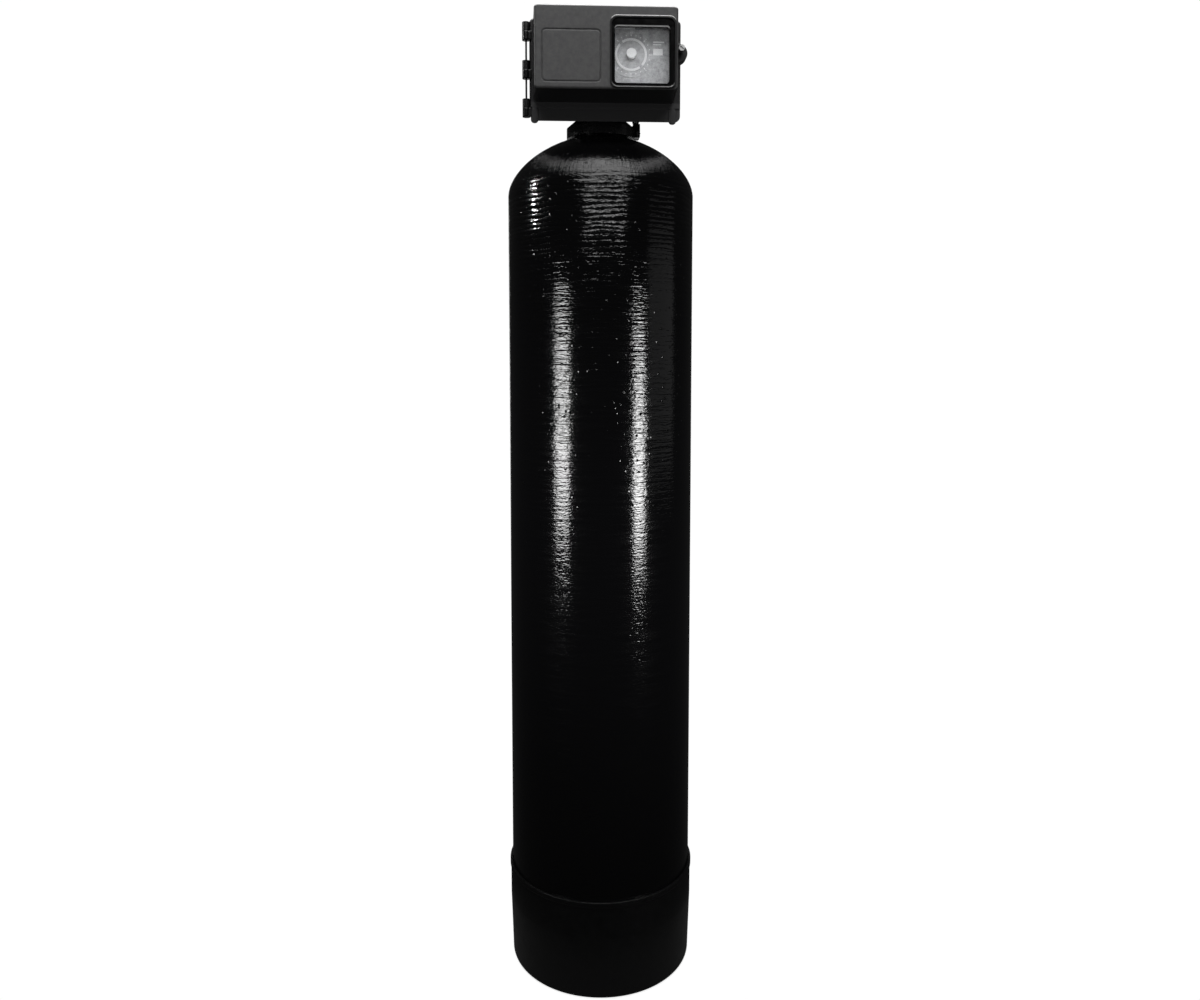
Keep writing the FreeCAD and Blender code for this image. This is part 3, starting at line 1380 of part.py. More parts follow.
def skipper_wheel():
    """Wheel with a slide for each day of a twelve-day cycle."""
    wheel = cylinder(skipper_radius, skipper_thickness, skipper_centre(day_gear_front), Y_AXIS)
    hub = cylinder(1.8 * spindle_radius, skipper_hub_height,
                   skipper_centre(day_gear_front - skipper_hub_height), Y_AXIS)
    slot = block(skipper_x + skipper_radius - skip_tab_length, skipper_x + 2 * skipper_radius,
                 day_gear_front, day_gear_front + skipper_thickness / 2,
                 dial_z - skip_tab_width / 2 - running_gap,
                 dial_z + skip_tab_width / 2 + running_gap)
    bore = cylinder(spindle_radius + running_gap, skipper_hub_height + skipper_thickness,
                    skipper_centre(day_gear_front - skipper_hub_height), Y_AXIS)
    slots = around(slot, skip_tab_count, skipper_centre(0), Y_AXIS)
    return joined([wheel, hub]).cut(slots + [bore])


def skip_tabs():
    inner = skipper_x + skipper_radius - skip_tab_length + skip_tab_out
    tab = block(inner, inner + skip_tab_length, day_gear_front - skip_tab_rise,
                day_gear_front + skipper_thickness / 2,
                dial_z - skip_tab_width / 2, dial_z + skip_tab_width / 2)
    return around(tab, skip_tab_count, skipper_centre(0), Y_AXIS)


def skipper_stud():
    """Stud on the timer's plate that the skipper wheel turns on."""
    start = skipper_centre(day_gear_front - skipper_hub_height - seat_gap)
    pin = cylinder(spindle_radius, timer_plate_back + stud_end - start.y, start, Y_AXIS)
    head = cylinder(1.5 * spindle_radius, stud_head, start - Y_AXIS * stud_head, Y_AXIS)
    return joined([pin, head])


def dial_panel():
    """Printed face panel in front of the gears, with a round opening for the day dial."""
    panel = round_block(dial_panel_left, dial_panel_right, dial_panel_front,
                        dial_panel_front + dial_panel_sheet, dial_panel_bottom, dial_panel_top,
                        dial_panel_round)
    opening = cylinder(day_dial_radius + gear_gap, dial_panel_sheet,
                       Vector(dial_x, dial_panel_front, dial_z), Y_AXIS)
    legs = []
    back = dial_panel_front + dial_panel_sheet
    for x, z in post_places():
        legs.append(cylinder(0.8 * post_radius, timer_plate_front - back, Vector(x, back, z),
                             Y_AXIS))
    return joined([panel.cut(opening)] + legs)


def gland_place(z):
    return Vector(gland_x, gland_y, z)


def cord_gland():
    """Bush through the housing's floor, where the power cord comes in."""
    stem_top = housing_bottom + housing_wall + gland_nut_height + gland_stem_end
    stem = cylinder(gland_radius, stem_top - housing_bottom, gland_place(housing_bottom))
    head = cylinder(1.35 * gland_radius, gland_head, gland_place(housing_bottom - gland_head))
    cone_foot = housing_bottom - gland_head - gland_cone
    cone = Part.makeCone(0.85 * gland_radius, 1.2 * gland_radius, gland_cone,
                         gland_place(cone_foot))
    bore = cylinder(gland_bore, stem_top - cone_foot, gland_place(cone_foot))
    return joined([stem, head, cone]).cut(bore)


def gland_nut():
    seat = gland_place(housing_bottom + housing_wall)
    nut = hexagon(gland_nut_width, gland_nut_height, seat, Z_AXIS)
    return nut.cut(cylinder(gland_radius, gland_nut_height, seat))


def write_parts():
    os.makedirs("parts", exist_ok=True)
    single = [
        base_boot, tank_shell, tank_liner, neck_insert, bottom_basket, riser_tube, gravel_bed,
        carbon_bed, top_basket, tank_adapter, clamp_ring, valve_body, end_plug, rod_seal, piston,
        piston_rod, drive_yoke, drain_fitting, flow_button, back_housing, front_cover,
        window_pane, hinge_pin, cover_screw, drive_bracket, drive_gearbox, drive_motor,
        drive_pinion, drive_gear, crank_pin, gear_shaft, timer_plate, timer_motor, timer_pinion,
        day_gear, day_dial, regeneration_knob, cycle_cam, skipper_wheel, skipper_stud,
        dial_panel, cord_gland, gland_nut,
    ]
    for make in single:
        save(make.__name__, make())
    groups = [
        clamp_bolt, piston_seals, seal_spacers, housing_screws, drive_cams, limit_switches,
        timer_posts, dial_ring, skip_tabs,
    ]
    for make in groups:
        save(make.__name__, Part.makeCompound(make()))
    save("tank_o_ring", rubber_ring(neck_ring_radius, neck_top + ring_section + running_gap))
    save("foot_o_ring", rubber_ring(neck_ring_radius, adapter_top - ring_section - running_gap))
    save("riser_o_ring", rubber_ring(riser_radius + ring_section + running_gap,
                                     adapter_top + ring_section + running_gap))
    home_start, cycle_start = cam_starts()
    save("home_switch_lever", switch_lever(1, home_start))
    save("cycle_switch_lever", switch_lever(-1, cycle_start))


write_parts()
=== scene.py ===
import math

import bmesh
import bpy
from mathutils import Matrix, Vector


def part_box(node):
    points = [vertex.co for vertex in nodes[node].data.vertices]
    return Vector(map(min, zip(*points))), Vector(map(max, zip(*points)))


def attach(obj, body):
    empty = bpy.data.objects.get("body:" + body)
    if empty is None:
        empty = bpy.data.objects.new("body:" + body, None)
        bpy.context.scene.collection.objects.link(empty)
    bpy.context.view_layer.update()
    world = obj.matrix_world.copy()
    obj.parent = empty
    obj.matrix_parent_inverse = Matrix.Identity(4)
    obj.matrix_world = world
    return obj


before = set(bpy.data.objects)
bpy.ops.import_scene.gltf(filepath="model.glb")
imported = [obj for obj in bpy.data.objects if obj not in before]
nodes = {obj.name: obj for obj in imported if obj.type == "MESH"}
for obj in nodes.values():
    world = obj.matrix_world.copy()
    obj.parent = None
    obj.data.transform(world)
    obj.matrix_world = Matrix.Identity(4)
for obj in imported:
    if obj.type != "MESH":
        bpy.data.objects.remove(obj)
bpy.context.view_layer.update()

# Places in metres that more than one piece or finish uses, from the nodes' own boxes
MM = 0.001
DIAL_LOW, DIAL_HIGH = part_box("day_dial")
DIAL_X = (DIAL_LOW[0] + DIAL_HIGH[0]) / 2
DIAL_Z = (DIAL_LOW[2] + DIAL_HIGH[2]) / 2
DIAL_FACE = DIAL_LOW[1]
PANEL_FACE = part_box("dial_panel")[0][1]
PANE_LOW, PANE_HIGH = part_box("window_pane")
HOUSING_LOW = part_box("back_housing")[0]
COVER_LOW, COVER_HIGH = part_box("front_cover")
WINDOW_FRAME_FACE = COVER_LOW[1]
COVER_FACE = WINDOW_FRAME_FACE + 3.0 * MM
# The tank's shoulder, where its wall goes over into the upper dome
SHOULDER = 1.314

# The Mix node's sockets by number, because their names repeat
FACTOR, VALUE_A, VALUE_B, COLOUR_A, COLOUR_B = 0, 2, 3, 6, 7
MIXED_COLOUR = 2


# Materials
def linear(hex_code):
    """sRGB hex to the linear RGBA that shaders take."""
    values = [int(hex_code[i:i + 2], 16) / 255 for i in (1, 3, 5)]
    return [v / 12.92 if v <= 0.04045 else ((v + 0.055) / 1.055) ** 2.4 for v in values] + [1.0]


def times(colour, factor):
    """A linear colour made lighter or darker."""
    return [v * factor for v in colour[:3]] + [1.0]


def per_metre(*sizes_mm):
    """How many of each size go into a metre: the scale of a pattern of that size."""
    return [1000 / size for size in sizes_mm]


def add(tree, kind, inputs=(), **settings):
    """Adds a node with its settings. Its inputs are listed in order, or go by name or number.
    Each is a value, another node's socket, or a node, whose first output it takes."""
    node = tree.nodes.new("ShaderNode" + kind)
    for name, value in settings.items():
        setattr(node, name, value)
    for name, value in inputs.items() if isinstance(inputs, dict) else enumerate(inputs):
        if isinstance(value, bpy.types.Node):
            value = value.outputs[0]
        if isinstance(value, bpy.types.NodeSocket):
            tree.links.new(value, node.inputs[name])
        else:
            node.inputs[name].default_value = value
    return node


def new_material(name):
    """A new material, its empty node tree, and each point's place on the object in metres."""
    material = bpy.data.materials.new(name)
    material.use_nodes = True
    tree = material.node_tree
    tree.nodes.clear()
    return material, tree, add(tree, "TexCoord").outputs["Object"]


def wound_fibreglass():
    """Filament-wound fibreglass under a glossy black resin coat. Bands of roving laid almost
    level leave fine ridges, which break each reflection into short level dashes. On the dome
    the bands turn round the neck, and drops of resin stand proud here and there."""
    material, tree, place = new_material("wound_fibreglass_black_gloss")
    parts = add(tree, "SeparateXYZ", [place])
    up = parts.outputs[2]

    # Ridges of roving on the wall, 50 mm long and 5 mm wide
    along = add(tree, "VectorMath", [place, per_metre(50, 50, 4.7619)], operation="MULTIPLY")
    roving = add(tree, "TexNoise", {"Vector": along, "Scale": 1.0, "Detail": 2.0,
                                    "Roughness": 0.55})
    # Strands between them, drawn 2 to 6 mm wide, a little coarser than they are, so that they
    # show at this size
    along = add(tree, "VectorMath", [place, per_metre(5.8824, 5.8824, 2.3256)],
                operation="MULTIPLY")
    strand = add(tree, "TexNoise", {"Vector": along, "Scale": 1.0, "Detail": 1.0})

    # Round the neck the strands run inwards, 4 mm apart at the shoulder and 25 mm long, and
    # stand six times as proud as on the wall
    angle = add(tree, "Math", [parts.outputs[1], parts.outputs[0]], operation="ARCTAN2")
    around = add(tree, "Math", [angle, 40.0], operation="MULTIPLY")
    flat = add(tree, "CombineXYZ", [parts.outputs[0], parts.outputs[1]])
    radius = add(tree, "VectorMath", [flat], operation="LENGTH")
    rings = add(tree, "Math", [radius.outputs["Value"], 1000 / 25], operation="MULTIPLY")
    inward = add(tree, "CombineXYZ", [around, rings])
    turning = add(tree, "TexNoise", {"Vector": inward, "Scale": 1.0, "Detail": 3.0,
                                     "Roughness": 0.7})
    strokes = add(tree, "Math", [turning, 6.0], operation="MULTIPLY")
    on_dome = add(tree, "MapRange", [up, SHOULDER + 0.006, SHOULDER + 0.030, 0.0, 1.0])
    ridges = add(tree, "Mix", {FACTOR: on_dome, VALUE_A: roving, VALUE_B: strokes},
                 data_type="FLOAT")

    # The winding lies smoother near the shoulder and on the lower wall than between them
    high = add(tree, "MapRange", [up, SHOULDER - 0.15, SHOULDER - 0.08, 1.0, 0.26])
    low = add(tree, "MapRange", [up, 0.74, 0.95, 0.18, 0.90])
    lift = add(tree, "Math", [high, low], operation="MULTIPLY")
    raised = add(tree, "Math", [ridges, lift], operation="MULTIPLY")
    height = add(tree, "Math", [strand, 0.24, raised], operation="MULTIPLY_ADD")

    # Below the shoulder each turn laps over the one under it, in thin level steps 8 mm apart
    along = add(tree, "VectorMath", [place, per_metre(71.429, 71.429, 25)], operation="MULTIPLY")
    wander = add(tree, "TexNoise", {"Vector": along, "Scale": 1.0, "Detail": 1.0})
    level = add(tree, "Math", [up, 1000 / 8], operation="MULTIPLY")
    turns = add(tree, "Math", [wander, 1.5, level], operation="MULTIPLY_ADD")
    step = add(tree, "Math", [turns], operation="FRACT")
    lap = add(tree, "Math", [step, 2.0], operation="POWER")
    rising = add(tree, "MapRange", [up, SHOULDER - 0.17, SHOULDER - 0.04, 0.0, -1.10])
    on_wall = add(tree, "MapRange", [on_dome, 0.0, 1.0, 1.0, 0.0])
    lap_height = add(tree, "Math", [rising, on_wall], operation="MULTIPLY")
    height = add(tree, "Math", [lap, lap_height, height], operation="MULTIPLY_ADD")

    # Resin drops about 2 mm across, 14 mm apart
    cells = add(tree, "TexVoronoi", {"Vector": place, "Scale": 1000 / 13.889, "Randomness": 1.0})
    drops = add(tree, "MapRange", [cells.outputs["Distance"], 0.16, 0.0, 0.0, 1.0])
    drop_height = add(tree, "Math", [low, 0.53], operation="MULTIPLY")
    height = add(tree, "Math", [drops, drop_height, height], operation="MULTIPLY_ADD")

    bump = add(tree, "Bump", {"Strength": 1.0, "Distance": 1.25 * MM, "Height": height})
    roughness = add(tree, "MapRange", [roving, 0.3, 0.7, 0.08, 0.16])
    shader = add(tree, "BsdfPrincipled", {"Base Color": linear("#070708"), "IOR": 1.5,
                                          "Roughness": roughness, "Normal": bump})
    add(tree, "OutputMaterial", {"Surface": shader})
    return material


def moulded(name, colour, rough, grain_mm, grain_height_mm, mottle, mottle_mm=6.0,
            edge_mm=0.0):
    """Moulded plastic: an even grain, drawn coarser than the mould's so that it shows, with a
    faint mottle and softened edges where wanted."""
    material, tree, place = new_material(name)
    grain = add(tree, "TexNoise", {"Vector": place, "Scale": 1000 / grain_mm, "Detail": 2.0})
    cloud = add(tree, "TexNoise", {"Vector": place, "Scale": 1000 / mottle_mm, "Detail": 3.0})
    bump = add(tree, "Bump", {"Strength": 1.0, "Distance": grain_height_mm * MM,
                              "Height": grain})
    if edge_mm:
        soft = add(tree, "Bevel", {"Radius": edge_mm * MM}, samples=4)
        tree.links.new(soft.outputs[0], bump.inputs["Normal"])
    share = add(tree, "MapRange", [cloud, 0.3, 0.7, 0.0, 1.0])
    tone = add(tree, "Mix", {FACTOR: share, COLOUR_A: times(linear(colour), 1 - mottle),
                             COLOUR_B: times(linear(colour), 1 + mottle)}, data_type="RGBA")
    roughness = add(tree, "MapRange", [cloud, 0.3, 0.7, rough - 0.04, rough + 0.04])
    shader = add(tree, "BsdfPrincipled", {
        "Base Color": tone.outputs[MIXED_COLOUR], "Roughness": roughness, "IOR": 1.5,
        "Normal": bump})
    add(tree, "OutputMaterial", {"Surface": shader})
    return material


def cover_plastic():
    """Black ABS of the weather cover. The front panel is finely textured, and its dark grey is
    partly painted sheen: it is painted lighter than the sides for the light it catches from the
    front. The sides, rim and hinge are smooth and blacker; the hinge is painted darker still as
    painted shade. The cover's top edge, and the upper edges of the window frame, are made glossy
    and painted pale as a painted highlight where the softened edges look upward."""
    material, tree, place = new_material("textured_black_abs")
    parts = add(tree, "SeparateXYZ", [place])
    across, depth, up = parts.outputs
    soft = add(tree, "Bevel", {"Radius": 3.0 * MM}, samples=8)

    # The front panel's texture, drawn with a coarser grain of 1.6 mm so that it shows, and
    # its cloudy tone, 6 mm wide, painted lighter than the sides as painted sheen
    front = add(tree, "MapRange", [depth, COVER_FACE + 1.8 * MM, COVER_FACE + 3.0 * MM, 1.0, 0.0])
    grain = add(tree, "TexNoise", {"Vector": place, "Scale": 1000 / 1.6, "Detail": 2.0})
    grain_height = add(tree, "MapRange", [front, 0.0, 1.0, 0.01 * MM, 0.045 * MM])
    bump = add(tree, "Bump", {"Strength": 1.0, "Distance": grain_height, "Height": grain,
                              "Normal": soft})
    cloud = add(tree, "TexNoise", {"Vector": place, "Scale": 1000 / 6.25, "Detail": 4.0,
                                   "Roughness": 0.6})
    share = add(tree, "MapRange", [cloud, 0.3, 0.7, 0.0, 1.0])
    # Painted sheen: the panel is a lighter grey than the sides, for the light it catches from the
    # front
    panel = add(tree, "Mix", {FACTOR: share, COLOUR_A: linear("#555556"),
                              COLOUR_B: linear("#636363")}, data_type="RGBA")

    # The foot of the rim that meets the housing is rougher, and painted lighter than the sides:
    # painted light where the ledge catches the lamps
    behind = add(tree, "MapRange", [depth, HOUSING_LOW[1] + 0.7 * MM, HOUSING_LOW[1] + 1.7 * MM,
                                    0.0, 1.0])
    below = add(tree, "MapRange", [up, HOUSING_LOW[2] + 8.5 * MM, HOUSING_LOW[2] + 10.0 * MM,
                                   1.0, 0.0])
    foot = add(tree, "Math", [behind, below], operation="MULTIPLY")
    side = add(tree, "Mix", {FACTOR: foot, COLOUR_A: linear("#2c2c2d"),
                             COLOUR_B: linear("#444445")}, data_type="RGBA")
    # The knuckles and the flange's outer edge, at the left, are painted darker as painted shade
    hinge = add(tree, "MapRange", [across, COVER_LOW[0] + 13.0 * MM, COVER_LOW[0] + 13.8 * MM,
                                   1.0, 0.0])
    side = add(tree, "Mix", {FACTOR: hinge, COLOUR_A: side.outputs[MIXED_COLOUR],
                             COLOUR_B: linear("#0b0b0c")}, data_type="RGBA")
    # The window frame stands proud of the panel and is smooth
    rim = add(tree, "MapRange", [depth, COVER_FACE - 1.2 * MM, COVER_FACE - 0.4 * MM, 1.0, 0.0])
    face = add(tree, "Mix", {FACTOR: rim, COLOUR_A: panel.outputs[MIXED_COLOUR],
                             COLOUR_B: linear("#2a2a2b")}, data_type="RGBA")
    tone = add(tree, "Mix", {FACTOR: front, COLOUR_A: side.outputs[MIXED_COLOUR],
                             COLOUR_B: face.outputs[MIXED_COLOUR]}, data_type="RGBA")

    # Painted highlight: what stands furthest out, where its softened edge looks partly upward, is
    # painted pale and made glossier
    outermost = add(tree, "MapRange", [depth, WINDOW_FRAME_FACE + 0.3 * MM,
                                       WINDOW_FRAME_FACE + 0.8 * MM, 1.0, 0.0])
    topmost = add(tree, "MapRange", [up, COVER_HIGH[2] - 6.9 * MM, COVER_HIGH[2] - 5.9 * MM,
                                     0.0, 1.0])
    proud = add(tree, "Math", [outermost, topmost], operation="MAXIMUM")
    tilt = add(tree, "SeparateXYZ", [soft]).outputs[2]
    reach = add(tree, "MapRange", [up, PANE_HIGH[2] - 1.5 * MM, PANE_HIGH[2] + 2.5 * MM,
                                   0.3, 1.0])
    leaning = add(tree, "MapRange", [tilt, 0.16, 0.36, 0.0, reach])
    not_flat = add(tree, "MapRange", [tilt, 0.92, 0.99, 1.0, 0.0])
    upward = add(tree, "Math", [leaning, not_flat], operation="MULTIPLY")
    painted_highlight = add(tree, "Math", [proud, upward], operation="MULTIPLY")
    # The painted highlight's pale colour
    highlit_tone = add(tree, "Mix", {FACTOR: painted_highlight, COLOUR_A: tone.outputs[MIXED_COLOUR],
                             COLOUR_B: linear("#f2f2f2")}, data_type="RGBA")

    satin = add(tree, "MapRange", [front, 0.0, 1.0, 0.30, 0.44])
    satin = add(tree, "Mix", {FACTOR: foot, VALUE_A: satin, VALUE_B: 0.55}, data_type="FLOAT")
    roughness = add(tree, "Mix", {FACTOR: painted_highlight, VALUE_A: satin, VALUE_B: 0.20},
                    data_type="FLOAT")
    shader = add(tree, "BsdfPrincipled", {
        "Base Color": highlit_tone.outputs[MIXED_COLOUR], "Roughness": roughness, "IOR": 1.5,
        "Normal": bump})
    add(tree, "OutputMaterial", {"Surface": shader})
    return material


def clear_polycarbonate():
    """Moulded clear sheet: the dial shows through it sharply, under a faint gloss. It is a
    little uneven, in waves 25 mm long, and it lets light through to the dial."""
    material, tree, place = new_material("clear_polycarbonate")
    wave = add(tree, "TexNoise", {"Vector": place, "Scale": 1000 / 25})
    bump = add(tree, "Bump", {"Strength": 1.0, "Distance": 0.03 * MM, "Height": wave})
    pane = add(tree, "BsdfPrincipled", {
        "Base Color": linear("#f2f3f4"), "Roughness": 0.03, "IOR": 1.58,
        "Transmission Weight": 1.0, "Normal": bump})
    through = add(tree, "BsdfTransparent", {"Color": linear("#eeeeef")})
    shadow = add(tree, "LightPath").outputs["Is Shadow Ray"]
    mix = add(tree, "MixShader", [shadow, pane, through])
    add(tree, "OutputMaterial", {"Surface": mix})
    return material


def worked_metal(name, colour, rough, line_mm=(0.4, 0.4, 0.4), spangle_mm=0.0):
    """Metal with the fine marks of its making, drawn coarser than they are so that they show,
    and zinc's spangle where wanted."""
    material, tree, place = new_material(name)
    along = add(tree, "VectorMath", [place, per_metre(*line_mm)], operation="MULTIPLY")
    lines = add(tree, "TexNoise", {"Vector": along, "Scale": 1.0, "Detail": 2.0})
    roughness = add(tree, "MapRange", [lines, 0.3, 0.7, rough - 0.06, rough + 0.08])
    tone = linear(colour)
    if spangle_mm:
        cells = add(tree, "TexVoronoi", {"Vector": place, "Scale": 1000 / spangle_mm})
        grey = add(tree, "SeparateColor", [cells.outputs["Color"]])
        tone = add(tree, "Mix", {FACTOR: grey, COLOUR_A: times(tone, 0.82), COLOUR_B: tone},
                   data_type="RGBA").outputs[MIXED_COLOUR]
    bump = add(tree, "Bump", {"Strength": 1.0, "Distance": 0.01 * MM, "Height": lines})
    shader = add(tree, "BsdfPrincipled", {
        "Base Color": tone, "Metallic": 1.0, "Roughness": roughness, "Normal": bump})
    add(tree, "OutputMaterial", {"Surface": shader})
    return material


def printed_dial():
    """Satin aluminium foil label on the dial and its panel: silver grey, with a sheen in
    patches 5 mm wide."""
    material, tree, place = new_material("satin_foil_label")
    cloud = add(tree, "TexNoise", {"Vector": place, "Scale": 1000 / 5.2632, "Detail": 5.0,
                                   "Roughness": 0.65})
    share = add(tree, "MapRange", [cloud, 0.35, 0.65, 0.0, 1.0])
    tone = add(tree, "Mix", {FACTOR: share, COLOUR_A: linear("#959596"),
                             COLOUR_B: linear("#c9c9ca")}, data_type="RGBA")
    shader = add(tree, "BsdfPrincipled", {
        "Base Color": tone.outputs[MIXED_COLOUR], "Metallic": 0.25, "Roughness": 0.42,
        "IOR": 1.5})
    add(tree, "OutputMaterial", {"Surface": shader})
    return material


def carbon_grains():
    """Coconut-shell carbon: matt black grains of 1 to 2 mm."""
    material, tree, place = new_material("granular_carbon")
    grains = add(tree, "TexVoronoi", {"Vector": place, "Scale": 1000 / 1.6667})
    bump = add(tree, "Bump", {"Strength": 1.0, "Distance": 0.8 * MM,
                              "Height": grains.outputs["Distance"]}, invert=True)
    shader = add(tree, "BsdfPrincipled", {"Base Color": linear("#161617"), "Roughness": 0.7,
                                          "IOR": 1.5, "Normal": bump})
    add(tree, "OutputMaterial", {"Surface": shader})
    return material


def washed_gravel():
    """Rounded quartz gravel, 3 to 6 mm, in mixed tans and greys."""
    material, tree, place = new_material("washed_quartz_gravel")
    stones = add(tree, "TexVoronoi", {"Vector": place, "Scale": 1000 / 4.7619})
    pick = add(tree, "SeparateColor", [stones.outputs["Color"]])
    tone = add(tree, "Mix", {FACTOR: pick, COLOUR_A: linear("#8d8068"),
                             COLOUR_B: linear("#c9bfa8")}, data_type="RGBA")
    bump = add(tree, "Bump", {"Strength": 1.0, "Distance": 2.2 * MM,
                              "Height": stones.outputs["Distance"]}, invert=True)
    shader = add(tree, "BsdfPrincipled", {
        "Base Color": tone.outputs[MIXED_COLOUR], "Roughness": 0.55, "IOR": 1.54,
        "Normal": bump})
    add(tree, "OutputMaterial", {"Surface": shader})
    return material


cover_abs = cover_plastic()
# Plainer black ABS of the housing behind it, which takes less light
housing_abs = moulded("plain_black_abs", "#101011", rough=0.40, grain_mm=1.6,
                      grain_height_mm=0.03, mottle=0.08, mottle_mm=8.0, edge_mm=1.0)
# Black glass-filled nylon of the valve and clamp: near black, a soft sheen
valve_nylon = moulded("glass_filled_black_nylon", "#171718", rough=0.26, grain_mm=2.5,
                      grain_height_mm=0.03, mottle=0.08, mottle_mm=9.0, edge_mm=2.0)
# Black polyethylene of the boot: near black with a waxy satin skin
boot_polyethylene = moulded("satin_black_polyethylene", "#080809", rough=0.38, grain_mm=3.0,
                            grain_height_mm=0.05, mottle=0.10, mottle_mm=14.0, edge_mm=1.5)
# Milky polyethylene of the tank's liner: half dull, with a soft orange-peel skin
liner_polyethylene = moulded("natural_polyethylene", "#d8d8d2", rough=0.50, grain_mm=4.0,
                             grain_height_mm=0.05, mottle=0.04)
# White ABS of the baskets and the riser: off white, a low gloss
basket_abs = moulded("white_abs", "#e2e1da", rough=0.38, grain_mm=2.0, grain_height_mm=0.02,
                     mottle=0.03)
# Natural acetal of gears and cages: an ivory white with a low gloss
gear_acetal = moulded("natural_acetal", "#e4e1d6", rough=0.34, grain_mm=1.2,
                      grain_height_mm=0.01, mottle=0.03)
# White acetal of the knob, and the white print: a clean white with a low gloss
knob_white = moulded("white_acetal", "#fafaf9", rough=0.32, grain_mm=1.2,
                     grain_height_mm=0.01, mottle=0.02)
# Black phenolic of the switches: hard, black and half dull
switch_phenolic = moulded("black_phenolic", "#1b1b1c", rough=0.42, grain_mm=0.8,
                          grain_height_mm=0.01, mottle=0.05)
# Nitrile rubber of the seals: dull black
seal_rubber = moulded("black_nitrile_rubber", "#141414", rough=0.62, grain_mm=1.0,
                      grain_height_mm=0.02, mottle=0.06)
# Smooth black rubber round the window, a little shiny
gloss_rubber = moulded("smooth_black_rubber", "#0a0a0b", rough=0.15, grain_mm=1.5,
                       grain_height_mm=0.01, mottle=0.05)
# Steel blackened against rust, drawn lengthwise: dark grey with a dull shine
dark_steel = worked_metal("blackened_steel", "#3a3a3b", rough=0.38, line_mm=(0.4, 0.4, 3.0))
# Bright zinc on the screw's head: pale, with a dull shine
bright_zinc = worked_metal("bright_zinc_screw_head", "#dcdcdc", rough=0.50,
                           line_mm=(0.6, 0.6, 0.6))
# Stainless steel turned on a lathe: bright, with fine rings
stainless = worked_metal("turned_stainless_steel", "#c9c9c8", rough=0.24,
                         line_mm=(2.0, 0.25, 2.0))
# Zinc-plated sheet: pale grey, with spangles of 6 mm
zinc_sheet = worked_metal("zinc_plated_sheet", "#bfc2c2", rough=0.36, line_mm=(0.5, 0.5, 3.0),
                          spangle_mm=6.0)
# Drawn steel of the motors' cans: grey, with faint lines of the drawing
motor_shell = worked_metal("drawn_steel_can", "#a9aaab", rough=0.34, line_mm=(3.0, 0.4, 0.4))

finish_of = {
    wound_fibreglass(): ["tank_shell"],
    boot_polyethylene: ["base_boot"],
    liner_polyethylene: ["tank_liner"],
    basket_abs: ["bottom_basket", "riser_tube", "top_basket"],
    washed_gravel(): ["gravel_bed"],
    carbon_grains(): ["carbon_bed"],
    valve_nylon: ["neck_insert", "tank_adapter", "clamp_ring", "valve_body", "drain_fitting",
                  "cord_gland", "gland_nut"],
    seal_rubber: ["tank_o_ring", "foot_o_ring", "riser_o_ring", "piston_seals", "rod_seal",
                  "flow_button"],
    gear_acetal: ["seal_spacers", "end_plug", "piston", "drive_yoke", "drive_gear",
                  "drive_cams", "timer_pinion", "day_gear", "cycle_cam"],
    stainless: ["clamp_bolt", "piston_rod", "housing_screws", "drive_pinion", "crank_pin",
                "gear_shaft", "timer_posts", "skipper_stud"],
    cover_abs: ["front_cover"],
    dark_steel: ["hinge_pin"],
    bright_zinc: ["cover_screw"],
    housing_abs: ["back_housing"],
    clear_polycarbonate(): ["window_pane"],
    zinc_sheet: ["drive_bracket", "timer_plate", "home_switch_lever", "cycle_switch_lever"],
    motor_shell: ["drive_gearbox", "drive_motor", "timer_motor"],
    switch_phenolic: ["limit_switches"],
    printed_dial(): ["day_dial", "dial_panel"],
    knob_white: ["dial_ring", "regeneration_knob", "skipper_wheel", "skip_tabs"],
}
for finish, names in finish_of.items():
    for name in names:
        mesh = nodes[name].data
        mesh.materials.clear()
        mesh.materials.append(finish)


# Small pieces beyond the CAD nodes
def mesh_piece(name, bm, finish, body):
    """Makes the piece from its mesh and lets it ride on its body."""
    mesh = bpy.data.meshes.new(name)
    bm.to_mesh(mesh)
    bm.free()
    mesh.materials.append(finish)
    piece = bpy.data.objects.new(name, mesh)
    bpy.context.collection.objects.link(piece)
    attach(piece, body)


def plate(bm, x0, x1, z0, z1, face, thickness):
    """Thin upright plate that stands on a face and looks to the front. Gives its vertices."""
    size = Vector((x1 - x0, thickness, z1 - z0))
    centre = Vector(((x0 + x1) / 2, face - thickness / 2, (z0 + z1) / 2))
    matrix = Matrix.Translation(centre) @ Matrix.Diagonal(size.to_4d())
    return bmesh.ops.create_cube(bm, size=1.0, matrix=matrix)["verts"]


def turn_about_dial(bm, verts, degrees):
    """Turns vertices round the dial's centre."""
    bmesh.ops.rotate(bm, verts=verts, cent=(DIAL_X, 0, DIAL_Z),
                     matrix=Matrix.Rotation(math.radians(degrees), 3, "Y"))


def rounded_outline(bm, x0, x1, z0, z1, radius, face):
    """Ring of vertices round an upright rectangle with rounded corners."""
    steps = 6
    ring = []
    corners = ((x1 - radius, z1 - radius), (x0 + radius, z1 - radius),
               (x0 + radius, z0 + radius), (x1 - radius, z0 + radius))
    for turn, (x, z) in enumerate(corners):
        for step in range(steps + 1):
            angle = math.radians(90 * (turn + step / steps))
            ring.append(bm.verts.new((x + radius * math.cos(angle), face,
                                      z + radius * math.sin(angle))))
    return ring


